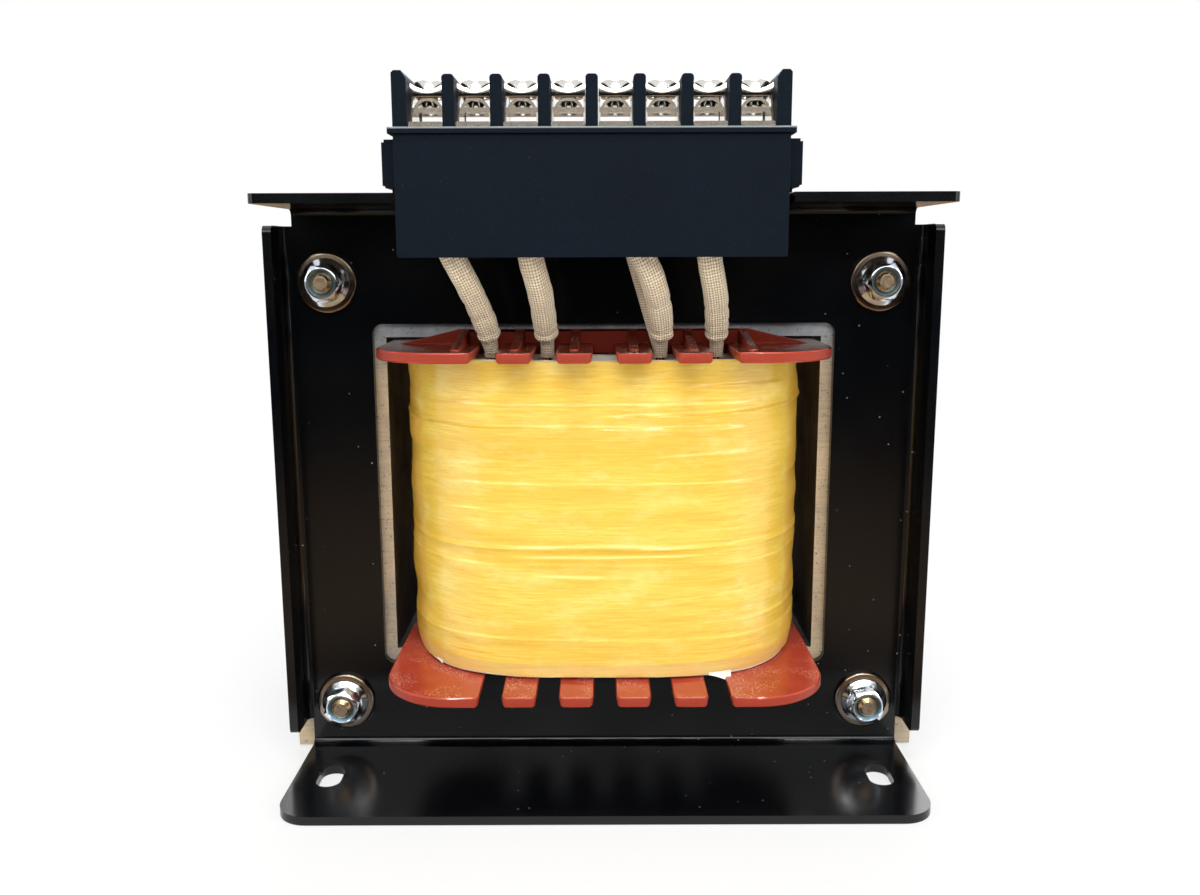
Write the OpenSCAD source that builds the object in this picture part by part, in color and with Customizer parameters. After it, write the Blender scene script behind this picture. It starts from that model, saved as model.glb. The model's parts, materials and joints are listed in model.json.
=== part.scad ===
// Laminated chassis transformer: interleaved E-I core, comb-flanged bobbin with a taped coil,
// two identical folded clamping brackets and an eight-pole barrier terminal block.
// +Z is up, X is the width, and the terminal side faces -Y. The origin is the centre of the
// footprint, on the surface that the feet stand on.

/* [Core] */
// Width of the centre leg (tongue) of the E lamination
tongue_w = 64; // [50:1:80]
// Width of each window between the centre leg and an outer leg
window_w = 32; // [24:1:40]
// Height of the windows
window_h = 96; // [76:1:120]
// Width of each outer leg, and of the two yokes
leg_w = 32; // [26:1:40]
// Depth of the whole stack of laminations
stack_d = 90; // [60:1:120]
// Number of interleaved packs in the stack
pack_count = 10; // [4:1:16]
// Height of the core above the standing surface
core_lift = 0.5; // [0:0.1:4]

/* [Brackets] */
// Thickness of the folded steel sheet
sheet_t = 2.5; // [1.5:0.1:4]
// Inside radius of every fold
fold_r = 2; // [1:0.1:4]
// Length of the foot, from the bracket's face to its free edge
foot_len = 46; // [38:0.5:60]
// Distance of the foot's ends from the core's sides
foot_inset = 5.5; // [3:0.5:10]
// Radius of the foot's front corners
foot_corner_r = 9; // [2:0.5:14]
// Width of the slots in the feet
slot_w = 7; // [5:0.1:9]
// Overall length of the slots in the feet
slot_len = 13; // [9:0.5:18]
// Distance of the slots' centres from the bracket's face
slot_y = 22.5; // [16:0.5:28]
// Length of the top flange, from the bracket's face to its free edge
flange_len = 40; // [34:0.5:50]
// Distance of the top flange's ends from the core's sides
flange_inset = 6.5; // [3:0.5:10]
// Height of the top flange's underside above the core
flange_gap = 4.7; // [4:0.1:12]
// Length of the side flanges, from the bracket's face to their free edges
side_len = 12; // [8:0.5:20]
// Distance of the side flanges' inner faces from the core's sides
side_inset = 4; // [3:0.5:8]
// Height at which the side flanges begin above the core's lower edge
side_start = 10; // [6:0.5:24]
// Margin of the bracket's window around the core's windows, sideways
frame_margin_x = 3.5; // [1:0.5:8]
// Margin of the bracket's window around the core's windows, up and down
frame_margin_z = 4; // [1:0.5:8]
// Corner radius of the bracket's window
frame_corner_r = 3; // [1:0.5:8]
// Overlap of the block over each end of the lead cut-out in the top flange
lead_gap_inset = 0.8; // [0:0.1:6]
// Depth of the cut-out for the leads in the top flange
lead_gap_d = 13; // [9:0.5:20]

/* [Bobbin] */
// Wall of the bobbin's tube
tube_t = 2; // [1.2:0.1:3]
// Thickness of the bobbin's flanges
comb_t = 2.8; // [2:0.1:5]
// Length of the flanges beyond the core's face
comb_len = 47; // [42:0.5:60]
// Radius of the flanges' outer corners
comb_corner_r = 20; // [8:0.5:26]
// Spacing of the comb's tabs
tab_pitch = 15.4; // [13:0.1:18]
// Width of the slots between the tabs
comb_slot_w = 5.8; // [4:0.1:8]
// Length of the slots, from the flange's front edge
comb_slot_len = 28.5; // [16:0.5:32]
// Height of the barrier wall that stands behind the slots
wall_h = 4; // [2:0.1:4.5]
// Thickness of the barrier wall
wall_t = 1.8; // [1:0.1:3]
// Clearance between the bobbin and the core
bobbin_clear = 0.5; // [0.2:0.1:1]

/* [Coil] */
// Gap between the coil and the core's outer legs
coil_gap = 4.3; // [2:0.1:8]
// Distance of the coil's front behind the free edges of the bobbin's flanges
coil_inset = 12; // [6:0.5:20]
// Thickness of the outer tape
tape_t = 1.2; // [0.6:0.1:2]
// Thickness of the insulating paper
paper_t = 0.6; // [0.3:0.1:1.2]
// Margin between the wire and the bobbin's flanges
coil_margin = 4.6; // [2:0.1:8]
// Margin between the outer tape and the bobbin's flanges
tape_margin = 1; // [0.4:0.1:3]

/* [Terminal block] */
// Number of poles
poles = 8; // [7:1:9]
// Distance between neighbouring poles
pole_pitch = 11.6; // [11:0.1:13]
// Thickness of the barriers between the poles
barrier_t = 3; // [2:0.1:4]
// Thickness of the two end barriers
end_barrier_t = 3.6; // [3:0.1:5]
// Height of the barriers above the deck
barrier_h = 12.4; // [10:0.1:15]
// Height of the deck above the top flange
deck_h = 15.3; // [12:0.1:20]
// Depth of the block from front to back
block_d = 28; // [24:0.5:34]
// Sideways offset of the block from the transformer's centre line
block_shift = -2.9; // [-5:0.1:5]
// Gap between the top flange's free edge and the skirt
skirt_gap = 2.5; // [1:0.1:6]
// Height of the blank skirt in front of the leads
skirt_h = 29.8; // [20:0.2:36]
// Thickness of the skirt
skirt_t = 2; // [1.2:0.1:3]

/* [Fasteners] */
// Diameter of the four through bolts
bolt_d = 6; // [5:0.5:6.5]
// Diameter of the big washers under heads and nuts
washer_d = 17.5; // [16:0.5:20]
// Thickness of the big washers
washer_t = 1.6; // [1:0.1:2.5]
// Diameter of the terminal screws
screw_d = 4; // [3:0.5:4.5]

/* [Leads] */
// Diameter of the glass-braid sleeves
sleeve_d = 6.4; // [5:0.1:7]
// Diameter of the wires inside the sleeves
wire_d = 2.6; // [1.6:0.1:3]

/* [Hidden] */

// Curves finer than this are not needed at this size
$fn = 48;
// Small overlap that keeps cuts clean
eps = 0.01;

// Core
core_w = tongue_w + 2 * window_w + 2 * leg_w;
core_h = window_h + 2 * leg_w;
core_mid_z = core_lift + core_h / 2;
core_top_z = core_lift + core_h;
pack_t = stack_d / pack_count;
bolt_x = core_w / 2 - leg_w / 2;
bolt_z = core_h / 2 - leg_w / 2;
// Insulating tubes on the bolts: wall, and clearance inside and outside it
tube_wall = 0.85;
tube_in_clear = 0.2;
tube_out_clear = 0.15;
core_hole_d = bolt_d + 2 * (tube_in_clear + tube_wall + tube_out_clear);

// Brackets
side_inner_w = core_w - 2 * side_inset;
foot_w = core_w - 2 * foot_inset;
flange_w = core_w - 2 * flange_inset;
plate_y = -stack_d / 2 - sheet_t;
flange_z = core_top_z + flange_gap;
flange_top_z = flange_z + sheet_t;
frame_w = tongue_w + 2 * window_w + 2 * frame_margin_x;
frame_h = window_h + 2 * frame_margin_z;
bracket_hole_d = bolt_d + 0.8;
side_z0 = core_lift + side_start;

// Bobbin
tube_x = tongue_w / 2 + bobbin_clear + tube_t;
tube_y = stack_d / 2 + bobbin_clear + tube_t;
comb_clear = 2.8;
comb_x = tongue_w / 2 + window_w - comb_clear;
comb_y = stack_d / 2 + comb_len;
comb_z = window_h / 2 - bobbin_clear;
comb_in_z = comb_z - comb_t;
tab_count = 6;
slot_end_y = comb_y - comb_slot_len;
rib_w = 2.2;
rib_len = 23;
tab_cut = 1.2;
slot_draft = 0.6;
low_wall_h = 2.4;
wall_slope_x = 4.5;
wall_end_w = 6;
rib_low_h = 0.4;
rib_drop = 0.4;

// Coil: clearance between layers, share of the build that the inner winding fills, and the
// exponents of the outlines, which open from nearly square inside to broad curves outside
coil_fit = 0.05;
primary_share = 0.44;
inner_curve = 7.3;
outer_curve = 3.4;
coil_x = tongue_w / 2 + window_w - coil_gap;
coil_y = comb_y - coil_inset;
mid_x = tube_x + primary_share * (coil_x - tube_x);
mid_y = tube_y + primary_share * (coil_y - tube_y);
paper_margin = 0.3;
winding_h = 2 * (comb_in_z - coil_margin);
paper_h = 2 * (comb_in_z - paper_margin);
tape_h = 2 * (comb_in_z - tape_margin);

// Terminal block
block_w = poles * pole_pitch - barrier_t + 2 * end_barrier_t;
lead_gap_w = block_w - 2 * lead_gap_inset;
skirt_y = plate_y - flange_len - skirt_gap - skirt_t;
block_y0 = skirt_y + skirt_t;
block_y1 = block_y0 + block_d;
deck_t = 1.5;
deck_over = 1.4;
deck_front = 3;
deck_back = 0.6;
deck_edge_r = 1.2;
deck_z = flange_top_z + deck_h;
cell_w = pole_pitch - barrier_t;
end_barrier_extra = 0.9;
cavity_y0 = block_y0 + 2;
cavity_y1 = plate_y - flange_len + lead_gap_d - 1;
cavity_h = deck_h - deck_t - 2.5;
barrier_d = 24;
barrier_y0 = block_y0 - 1.9;
cavity_side = 0.6;
tail_clear = 0.1;
block_screw_x = block_w / 2 - 14.5;
block_screw_y = (cavity_y1 + block_y1) / 2;
block_screw_len = 10;
peg_d = 3;
peg_len = 1.6;
peg_x = block_w / 2 - 8;
peg_z = flange_top_z + deck_h / 2;

// Contacts
cage_w = cell_w - 0.2;
cage_d = 16;
cage_y0 = block_y0 - 1;
strip_t = 1.4;
cage_gap = 2.6;
cage_plate_t = 1.2;
cage_side_t = 0.5;
cage_edge_r = 0.5;
cage_h = strip_t + cage_gap + cage_plate_t;
clamp_d = 9.6;
screw_y = cage_y0 + 9;
saddle_w = 7.2;
saddle_h = 2.6;
saddle_t = 0.8;
spring_t = 1.1;
cheek_clear = 0.4;
cheek_h = cage_h + saddle_h + spring_t - cheek_clear;
cheek_foot = [-6, 6];
cheek_top = [-3, 4];
head_d = 8.3;
head_h = 3.6;
head_cut = 1;
recess_w = 4.4;
recess_t = 1;
recess_d = 1.8;
tail_w = 4.4;
tail_t = 0.8;
tail_y = block_y0 + 7.2;
tail_len = deck_t + 2.5 + 7;

// Fasteners
nut_af = 10;
nut_h = 6;
nut_flange_d = 14;
nut_flange_t = 1.4;
head_af = 10;
bolt_head_h = 4;
bolt_tip = 3.2;
tip_cut = 0.8;
washer_clear = 0.5;
nut_cone_h = 1.2;
thread_clear = 0.05;

// Leads: the pole and the comb slot of each, and how far beyond the slot's end it leaves the coil
lead_poles = [0, 2, 4, 6];
lead_slots = [-2, -1, 1, 2];
lead_out = [4, 4.5, 5.5, 4];
lead_seat = 0.1;
// Bows of the leads: shares of the way gone sideways, forward and up at five points
bow_x = [
    [0.02, 0.14, 0.34, 0.58, 0.86],
    [0.04, 0.13, 0.3, 0.67, 0.89],
    [-0.02, 0.03, 0.16, 0.4, 0.77],
    [0.05, 0.14, 0.41, 0.82, 0.95]
];
bow_y = [0.15, 0.38, 0.73, 0.97, 1];
bow_z = [0.08, 0.24, 0.43, 0.62, 0.81];
sleeve_bore_r = wire_d / 2 + 0.35;
sleeve_neck_r = comb_slot_w / 2 - 0.5;
lead_gap_y = 2.3;
lead_sides = 12;

// ---------------------------------------------------------------- helpers

// Rectangle with round corners, centred on the origin
module round_rect(w, h, r) {
    square([w - 2 * r, h], center = true);
    square([w, h - 2 * r], center = true);
    for (sx = [-1, 1], sy = [-1, 1])
        translate([sx * (w / 2 - r), sy * (h / 2 - r)]) circle(r);
}

// Straight slot with round ends, along the second axis
module slot_shape(w, len) {
    square([w, len - w], center = true);
    for (s = [-1, 1]) translate([0, s * (len - w) / 2]) circle(d = w);
}

// Rectangle from the first axis outwards, with its two far corners round
module tongue_shape(w, len, r) {
    translate([-w / 2, 0]) square([w, len - r]);
    translate([-w / 2 + r, 0]) square([w - 2 * r, len]);
    for (s = [-1, 1]) translate([s * (w / 2 - r), len - r]) circle(r);
}

// Turns a drawing in X and Z into a plate that reaches from y0 to y1
module upright(y0, y1) {
    translate([0, y1, 0]) rotate([90, 0, 0]) linear_extrude(y1 - y0) children();
}

// Turns a drawing in Y and Z into a solid centred on x
module crosswise(x, w) {
    translate([x - w / 2, 0, 0]) rotate([90, 0, 90]) linear_extrude(w) children();
}

// Cylinder along Y, from y0 to y1
module rod(x, z, y0, y1, d) {
    translate([x, y1, z]) rotate([90, 0, 0]) cylinder(d = d, h = y1 - y0);
}

// Places a child at each of the four bolts
module at_bolts() {
    for (sx = [-1, 1], sz = [-1, 1]) translate([sx * bolt_x, 0, core_mid_z + sz * bolt_z]) children();
}

// Quarter of a folded sheet, inside radius fold_r, width w, turned about the X axis
module fold(w) {
    rotate([0, 90, 0]) translate([0, 0, -w / 2])
        rotate_extrude(angle = 90) translate([fold_r, 0]) square([sheet_t, w]);
}

// ---------------------------------------------------------------- brackets

// Flat part of the bracket, drawn in X and Z
module bracket_face() {
    fold_w = side_inner_w - 2 * fold_r;
    low_z = sheet_t + fold_r;
    high_z = flange_z - fold_r;
    difference() {
        union() {
            translate([-fold_w / 2, side_z0]) square([fold_w, core_top_z - side_z0]);
            translate([-foot_w / 2, low_z]) square([foot_w, core_mid_z - low_z]);
            translate([-flange_w / 2, core_mid_z]) square([flange_w, high_z - core_mid_z]);
        }
        translate([0, core_mid_z]) round_rect(frame_w, frame_h, frame_corner_r);
        for (sx = [-1, 1], sz = [-1, 1])
            translate([sx * bolt_x, core_mid_z + sz * bolt_z]) circle(d = bracket_hole_d);
    }
}

// Foot, drawn in X and Y, from the fold to the free edge
module foot_plan() {
    len = foot_len - fold_r;
    difference() {
        translate([0, -fold_r]) mirror([0, 1]) tongue_shape(foot_w, len, foot_corner_r);
        for (s = [-1, 1]) translate([s * bolt_x, -slot_y]) slot_shape(slot_w, slot_len);
    }
}

// Top flange, drawn in X and Y, with its lead cut-out and the two screw holes of the block
module flange_plan() {
    corner_r = 2;
    len = flange_len - fold_r;
    difference() {
        translate([0, -fold_r]) mirror([0, 1]) tongue_shape(flange_w, len, corner_r);
        translate([0, -flange_len]) round_rect(lead_gap_w, 2 * lead_gap_d, 3);
        for (s = [-1, 1])
            translate([block_shift + s * block_screw_x, block_screw_y - plate_y]) circle(d = screw_d + 0.5);
    }
}

// Side flange with its fold, for x > 0
module side_flange() {
    top = core_top_z - side_z0;
    corner_r = 2;
    translate([side_inner_w / 2 - fold_r, -fold_r, side_z0])
        rotate_extrude(angle = 90) translate([fold_r, 0]) square([sheet_t, top]);
    translate([side_inner_w / 2, 0, 0]) rotate([90, 0, 90]) linear_extrude(sheet_t)
        translate([-fold_r, side_z0]) mirror([1, 0]) {
            translate([0, corner_r]) square([side_len - fold_r, top - 2 * corner_r]);
            square([side_len - fold_r - corner_r, top]);
            for (z = [corner_r, top - corner_r])
                translate([side_len - fold_r - corner_r, z]) circle(corner_r);
        }
}

// One clamping bracket; its inner face lies on the plane y = 0 and the flanges point to -Y
module bracket() {
    translate([0, -sheet_t, 0]) {
        upright(0, sheet_t) bracket_face();
        // foot and its fold
        linear_extrude(sheet_t) foot_plan();
        translate([0, -fold_r, sheet_t + fold_r]) fold(foot_w);
        // top flange and its fold
        translate([0, 0, flange_z]) linear_extrude(sheet_t) flange_plan();
        translate([0, -fold_r, flange_z - fold_r]) mirror([0, 0, 1]) fold(flange_w);
        // side flanges
        for (s = [0, 1]) mirror([s, 0, 0]) side_flange();
    }
}

module front_bracket() {
    color("#15181c") translate([0, -stack_d / 2, 0]) bracket();
}

module rear_bracket() {
    color("#15181c") rotate([0, 0, 180]) translate([0, -stack_d / 2, 0]) bracket();
}

// ---------------------------------------------------------------- core

// Outline of an E lamination with its yoke at the top, drawn in X and Z about the core's middle
module e_shape() {
    difference() {
        translate([-core_w / 2, -window_h / 2]) square([core_w, window_h + leg_w]);
        for (s = [-1, 1])
            translate([s * (tongue_w + window_w) / 2 - window_w / 2, -window_h / 2 - 1])
                square([window_w, window_h + 1]);
        for (s = [-1, 1]) translate([s * bolt_x, bolt_z]) circle(d = core_hole_d);
    }
}

// Outline of an I lamination, below the E that it closes
module i_shape() {
    difference() {
        translate([-core_w / 2, -core_h / 2]) square([core_w, leg_w]);
        for (s = [-1, 1]) translate([s * bolt_x, -bolt_z]) circle(d = core_hole_d);
    }
}

// Packs of one outline through the stack, every second one turned upside down
module interleaved() {
    for (i = [0 : pack_count - 1])
        translate([0, 0, core_mid_z]) mirror([0, 0, i % 2])
            upright(-stack_d / 2 + i * pack_t, -stack_d / 2 + (i + 1) * pack_t) children();
}

module e_laminations() {
    color("#8f8f8b") interleaved() e_shape();
}

module i_laminations() {
    color("#85857f") interleaved() i_shape();
}

// ---------------------------------------------------------------- bobbin

// Plan of a flange: round corners, and cut corners of the tabs at the mouths of the slots
module comb_plan() {
    difference() {
        round_rect(2 * comb_x, 2 * comb_y, comb_corner_r);
        square([tongue_w + 2 * bobbin_clear, stack_d + 2 * bobbin_clear], center = true);
        for (sy = [0, 1], i = [0 : tab_count - 2])
            mirror([0, sy]) translate([(i - (tab_count - 2) / 2) * tab_pitch, comb_y])
                rotate(45) square((comb_slot_w / 2 + tab_cut) * sqrt(2), center = true);
    }
}

// Comb of slots through a flange that stands on z = 0; the mould's draft widens them downwards
module comb_slots() {
    half = comb_slot_w / 2;
    for (sy = [0, 1], i = [0 : tab_count - 2])
        mirror([0, sy, 0]) translate([(i - (tab_count - 2) / 2) * tab_pitch, 0, 0])
            upright(slot_end_y, comb_y + 1)
                polygon([[-half - slot_draft, -eps], [half + slot_draft, -eps],
                    [half, comb_t + eps], [-half, comb_t + eps]]);
}

// Barrier wall of height h behind the slots, drawn in X and Z: its ends slope down to the flange
module wall_shape(h) {
    foot = comb_x - wall_slope_x;
    flat = tab_pitch * tab_count / 2 - wall_end_w;
    polygon([[-foot, 0], [foot, 0], [flat, h], [-flat, h]]);
}

// Gusset along a tab, drawn in Y and Z from its low front end to a wall of height h
module gusset_shape(h) {
    polygon([[-rib_len, 0], [wall_t / 2, 0], [wall_t / 2, h - rib_drop], [-rib_len, rib_low_h]]);
}

// Walls and gussets on the outer face of a flange
module comb_back(h) {
    for (s = [0, 1]) mirror([0, s, 0]) {
        upright(-slot_end_y, -slot_end_y + wall_t) wall_shape(h);
        for (i = [0 : tab_count - 1])
            translate([0, -slot_end_y, 0])
                crosswise((i - (tab_count - 1) / 2) * tab_pitch, rib_w) gusset_shape(h);
    }
}

module bobbin() {
    color("#b4472f") translate([0, 0, core_mid_z]) {
        linear_extrude(2 * comb_z, center = true) difference() {
            square([2 * tube_x, 2 * tube_y], center = true);
            square([tongue_w + 2 * bobbin_clear, stack_d + 2 * bobbin_clear], center = true);
        }
        for (z = [-comb_z, comb_in_z]) translate([0, 0, z]) difference() {
            linear_extrude(comb_t) comb_plan();
            comb_slots();
        }
        translate([0, 0, comb_z]) comb_back(wall_h);
        mirror([0, 0, 1]) translate([0, 0, comb_z]) comb_back(low_wall_h);
    }
}

// ---------------------------------------------------------------- coil

// Outline of a layer with half sizes x and y less an inset, and its exponent n
function coil_outline(x, y, inset, n) =
    [for (i = [0 : 71]) let (a = i * 5, c = cos(a), s = sin(a))
        [(x - inset) * sign(c) * pow(abs(c), 2 / n), (y - inset) * sign(s) * pow(abs(s), 2 / n)]];

// Closed ring of one layer; the first child is its outside, the second its inside
module coil_ring(h) {
    translate([0, 0, core_mid_z]) linear_extrude(h, center = true) difference() {
        children(0);
        children(1);
    }
}

// Outlines at an inset from the middle of the coil, and from its outside
module mid_line(inset) {
    polygon(coil_outline(mid_x, mid_y, inset, inner_curve));
}

module outer_line(inset) {
    polygon(coil_outline(coil_x, coil_y, inset, outer_curve));
}

module primary_winding() {
    color("#8a4a24") coil_ring(winding_h) {
        mid_line(coil_fit);
        square([2 * (tube_x + coil_fit), 2 * (tube_y + coil_fit)], center = true);
    }
}

module winding_paper() {
    color("#e8e2d0") coil_ring(paper_h) {
        mid_line(-paper_t);
        mid_line(0);
    }
}

module secondary_winding() {
    color("#8a4a24") coil_ring(winding_h) {
        outer_line(tape_t + paper_t + 2 * coil_fit);
        mid_line(-paper_t - coil_fit);
    }
}

module cover_paper() {
    color("#f1eee4") coil_ring(paper_h) {
        outer_line(tape_t + coil_fit);
        outer_line(tape_t + coil_fit + paper_t);
    }
}

module coil_tape() {
    color("#f0c64a") coil_ring(tape_h) {
        outer_line(0);
        outer_line(tape_t);
    }
}

// ---------------------------------------------------------------- leads

function pole_x(i) = block_shift + (i - (poles - 1) / 2) * pole_pitch;

// Whole route of a lead: out of the coil, through a slot of the comb, up behind the skirt
// and onto the tail of its contact
function lead_route(k) = let (
    foot_x = lead_slots[k] * tab_pitch,
    foot_y = -slot_end_y - lead_out[k],
    top_x = pole_x(lead_poles[k]),
    out_y = block_y0 + sleeve_d / 2 + lead_gap_y,
    seat_z = core_mid_z + winding_h / 2 + lead_seat,
    tab_z = core_mid_z + comb_z,
    wire_y = tail_y + tail_t + thread_clear + wire_d / 2)
    concat(
        [[foot_x, foot_y, seat_z], [foot_x, foot_y, tab_z - 2], [foot_x, foot_y - 0.8, tab_z + 1.2]],
        [for (j = [0 : 4]) [
            foot_x + (top_x - foot_x) * bow_x[k][j],
            foot_y + (out_y - foot_y) * bow_y[j],
            tab_z + (flange_z - tab_z) * bow_z[j]]],
        [[top_x, wire_y - 0.3, flange_z - 1], [top_x, wire_y, flange_top_z + 2],
         [top_x, wire_y, flange_top_z + cavity_h - 3]]);

// Catmull-Rom curve through the points of a route
function spline(p, steps) = let (n = len(p))
    [for (i = [0 : n - 2], j = [0 : steps - 1]) let (
        t = j / steps,
        a = p[max(i - 1, 0)], b = p[i], c = p[i + 1], d = p[min(i + 2, n - 1)])
        0.5 * (2 * b + (c - a) * t + (2 * a - 5 * b + 4 * c - d) * t * t
            + (3 * b - a - 3 * c + d) * t * t * t),
     p[n - 1]];

function unit(v) = v / norm(v);

// Ring of points square to the route; the leads rise, so X stays a good guide
function ring(p, i, r) = let (
    n = len(p),
    dir = unit(p[min(i + 1, n - 1)] - p[max(i - 1, 0)]),
    side = unit(cross([1, 0, 0], dir)),
    over = cross(dir, side))
    [for (k = [0 : lead_sides - 1]) let (a = k * 360 / lead_sides)
        p[i] + r * (cos(a) * side + sin(a) * over)];

// Closed tube swept along p with radius r[i] at each point
module swept(p, r) {
    n = len(p);
    m = lead_sides;
    polyhedron(
        points = [for (i = [0 : n - 1]) each ring(p, i, r[i])],
        faces = concat(
            [[for (k = [0 : m - 1]) k]],
            [for (i = [0 : n - 2], k = [0 : m - 1])
                [i * m + k, (i + 1) * m + k, (i + 1) * m + (k + 1) % m, i * m + (k + 1) % m]],
            [[for (k = [m - 1 : -1 : 0]) (n - 1) * m + k]]),
        convexity = 4);
}

module lead_wire(k) {
    p = spline(lead_route(k), 2);
    color("#b87333") swept(p, [for (q = p) wire_d / 2]);
}

// The sleeve begins under the comb's outer face, drawn in to fit the slot, and ends behind the skirt
module lead_sleeve(k) {
    route = lead_route(k);
    p = spline([for (i = [1 : len(route) - 2]) route[i]], 2);
    whole = spline(route, 2);
    grow_z = core_mid_z + comb_z + wall_h;
    r = [for (q = p) q[2] < grow_z ? sleeve_neck_r : sleeve_d / 2];
    color("#d8cdb8") difference() {
        swept(p, r);
        swept(whole, [for (q = whole) sleeve_bore_r]);
    }
}

module lead_wire_1() { lead_wire(0); }
module lead_wire_2() { lead_wire(1); }
module lead_wire_3() { lead_wire(2); }
module lead_wire_4() { lead_wire(3); }
module lead_sleeve_1() { lead_sleeve(0); }
module lead_sleeve_2() { lead_sleeve(1); }
module lead_sleeve_3() { lead_sleeve(2); }
module lead_sleeve_4() { lead_sleeve(3); }

// ---------------------------------------------------------------- terminal block

// Barrier between two poles, drawn in X and Z, with eased top corners
module barrier_shape(h) {
    r = 0.9;
    translate([-barrier_t / 2, 0]) square([barrier_t, h - r]);
    translate([-barrier_t / 2 + r, 0]) square([barrier_t - 2 * r, h]);
    for (s = [-1, 1]) translate([s * (barrier_t / 2 - r), h - r]) circle(r);
}

// Taller end barrier with a chamfer towards its pole, for x < 0; its inner face is at x = 0
module end_barrier_shape(h) {
    cut_x = 1.2;
    cut_z = 1.8;
    ease = 0.6;
    polygon([[-end_barrier_t, 0], [0, 0], [0, h - cut_z], [-cut_x, h],
        [ease - end_barrier_t, h], [-end_barrier_t, h - ease]]);
}

// Lug at the end of the block, with a narrower foot that stands on the flange
module end_lug() {
    lug_w = 4.2;
    lug_z = 1.2;
    lug_h = 11.8;
    lug_y = block_y0 + 4;
    lug_d = 11;
    translate([block_w / 2 - eps, lug_y, flange_top_z + lug_z]) {
        cube([lug_w - 0.8 + eps, lug_d, lug_h]);
        translate([0, 0.8, 0.6]) cube([lug_w + eps, lug_d - 1.6, lug_h - 1.2]);
    }
    translate([block_w / 2 - eps, lug_y + 2, flange_top_z]) cube([2 + eps, lug_d - 4, lug_z + eps]);
}

module terminal_block() {
    color("#1a222b") difference() {
        union() {
            // base
            translate([block_shift - block_w / 2, block_y0, flange_top_z])
                cube([block_w, block_d, deck_h - eps]);
            // deck with a ledge all round
            translate([block_shift, (block_y0 + block_y1 - deck_front + deck_back) / 2, deck_z - deck_t])
                linear_extrude(deck_t)
                    round_rect(block_w + 2 * deck_over, block_d + deck_front + deck_back, deck_edge_r);
            // barriers
            for (i = [1 : poles - 1])
                translate([pole_x(i) - pole_pitch / 2, 0, deck_z - eps])
                    upright(barrier_y0, barrier_y0 + barrier_d) barrier_shape(barrier_h);
            for (s = [0, 1]) translate([block_shift, 0, deck_z - eps]) mirror([s, 0, 0])
                translate([end_barrier_t - block_w / 2, 0, 0])
                    upright(barrier_y0, barrier_y0 + barrier_d)
                        end_barrier_shape(barrier_h + end_barrier_extra);
            for (s = [0, 1]) translate([block_shift, 0, 0]) mirror([s, 0, 0]) end_lug();
        }
        // one chamber under each pole, open at the bottom
        for (i = [0 : poles - 1])
            translate([pole_x(i) - cell_w / 2 - cavity_side, cavity_y0, flange_top_z - eps])
                cube([cell_w + 2 * cavity_side, cavity_y1 - cavity_y0, cavity_h]);
        // slots for the tails of the contacts
        for (i = [0 : poles - 1])
            translate([pole_x(i) - tail_w / 2 - tail_clear, tail_y - tail_clear, flange_top_z])
                cube([tail_w + 2 * tail_clear, tail_t + 2 * tail_clear, deck_h + 1]);
        // bores for the fixing screws
        for (s = [-1, 1])
            translate([block_shift + s * block_screw_x, block_screw_y, flange_top_z - 1])
                cylinder(d = screw_d + 2 * thread_clear, h = block_screw_len + 0.5);
        // bores for the pegs of the skirt
        for (s = [-1, 1])
            rod(block_shift + s * peg_x, peg_z, block_y0 - 1, block_y0 + peg_len + 0.2,
                peg_d + 2 * thread_clear);
    }
}

// Blank skirt that hides the leads, with two pegs that plug into the block
module terminal_skirt() {
    top_z = deck_z - deck_t;
    edge = 0.5;
    color("#18202a") {
        upright(skirt_y, block_y0) translate([block_shift, top_z - skirt_h / 2])
            round_rect(block_w, skirt_h, edge);
        for (s = [-1, 1])
            rod(block_shift + s * peg_x, peg_z, block_y0 - eps, block_y0 + peg_len, peg_d);
    }
}

// Cheek of a contact, drawn in Y and Z about the screw's axis: wider at its foot
module cheek_shape() {
    z0 = strip_t / 2;
    polygon([[cheek_foot[0], z0], [cheek_foot[1], z0], [cheek_top[1], cheek_h], [cheek_top[0], cheek_h]]);
}

// Nickel-plated contact: a strip with a tail down into the block, and a clamp plate that stands
// over it between two folded cheeks
module contact(i) {
    color("#c9cdd1") translate([pole_x(i), 0, deck_z]) difference() {
        union() {
            upright(cage_y0, cage_y0 + cage_d) translate([0, strip_t / 2])
                round_rect(cage_w, strip_t, cage_edge_r);
            translate([0, screw_y - clamp_d / 2, cage_h - cage_plate_t])
                translate([-cage_w / 2 + cage_side_t / 2, 0, 0])
                    cube([cage_w - cage_side_t, clamp_d, cage_plate_t]);
            for (s = [-1, 1])
                translate([0, screw_y, 0])
                    crosswise(s * (cage_w - cage_side_t) / 2, cage_side_t) cheek_shape();
            translate([-tail_w / 2, tail_y, -tail_len]) cube([tail_w, tail_t, tail_len + 0.5]);
        }
        translate([0, screw_y, strip_t + cage_gap - 0.5])
            cylinder(d = screw_d + 2 * thread_clear, h = cage_plate_t + 1);
    }
}

module contact_1() { contact(0); }
module contact_2() { contact(1); }
module contact_3() { contact(2); }
module contact_4() { contact(3); }
module contact_5() { contact(4); }
module contact_6() { contact(5); }
module contact_7() { contact(6); }
module contact_8() { contact(7); }

// Places a child on the screw axis of every pole, at the top of the contact's cage
module at_poles() {
    for (i = [0 : poles - 1]) translate([pole_x(i), screw_y, deck_z + cage_h]) children();
}

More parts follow.
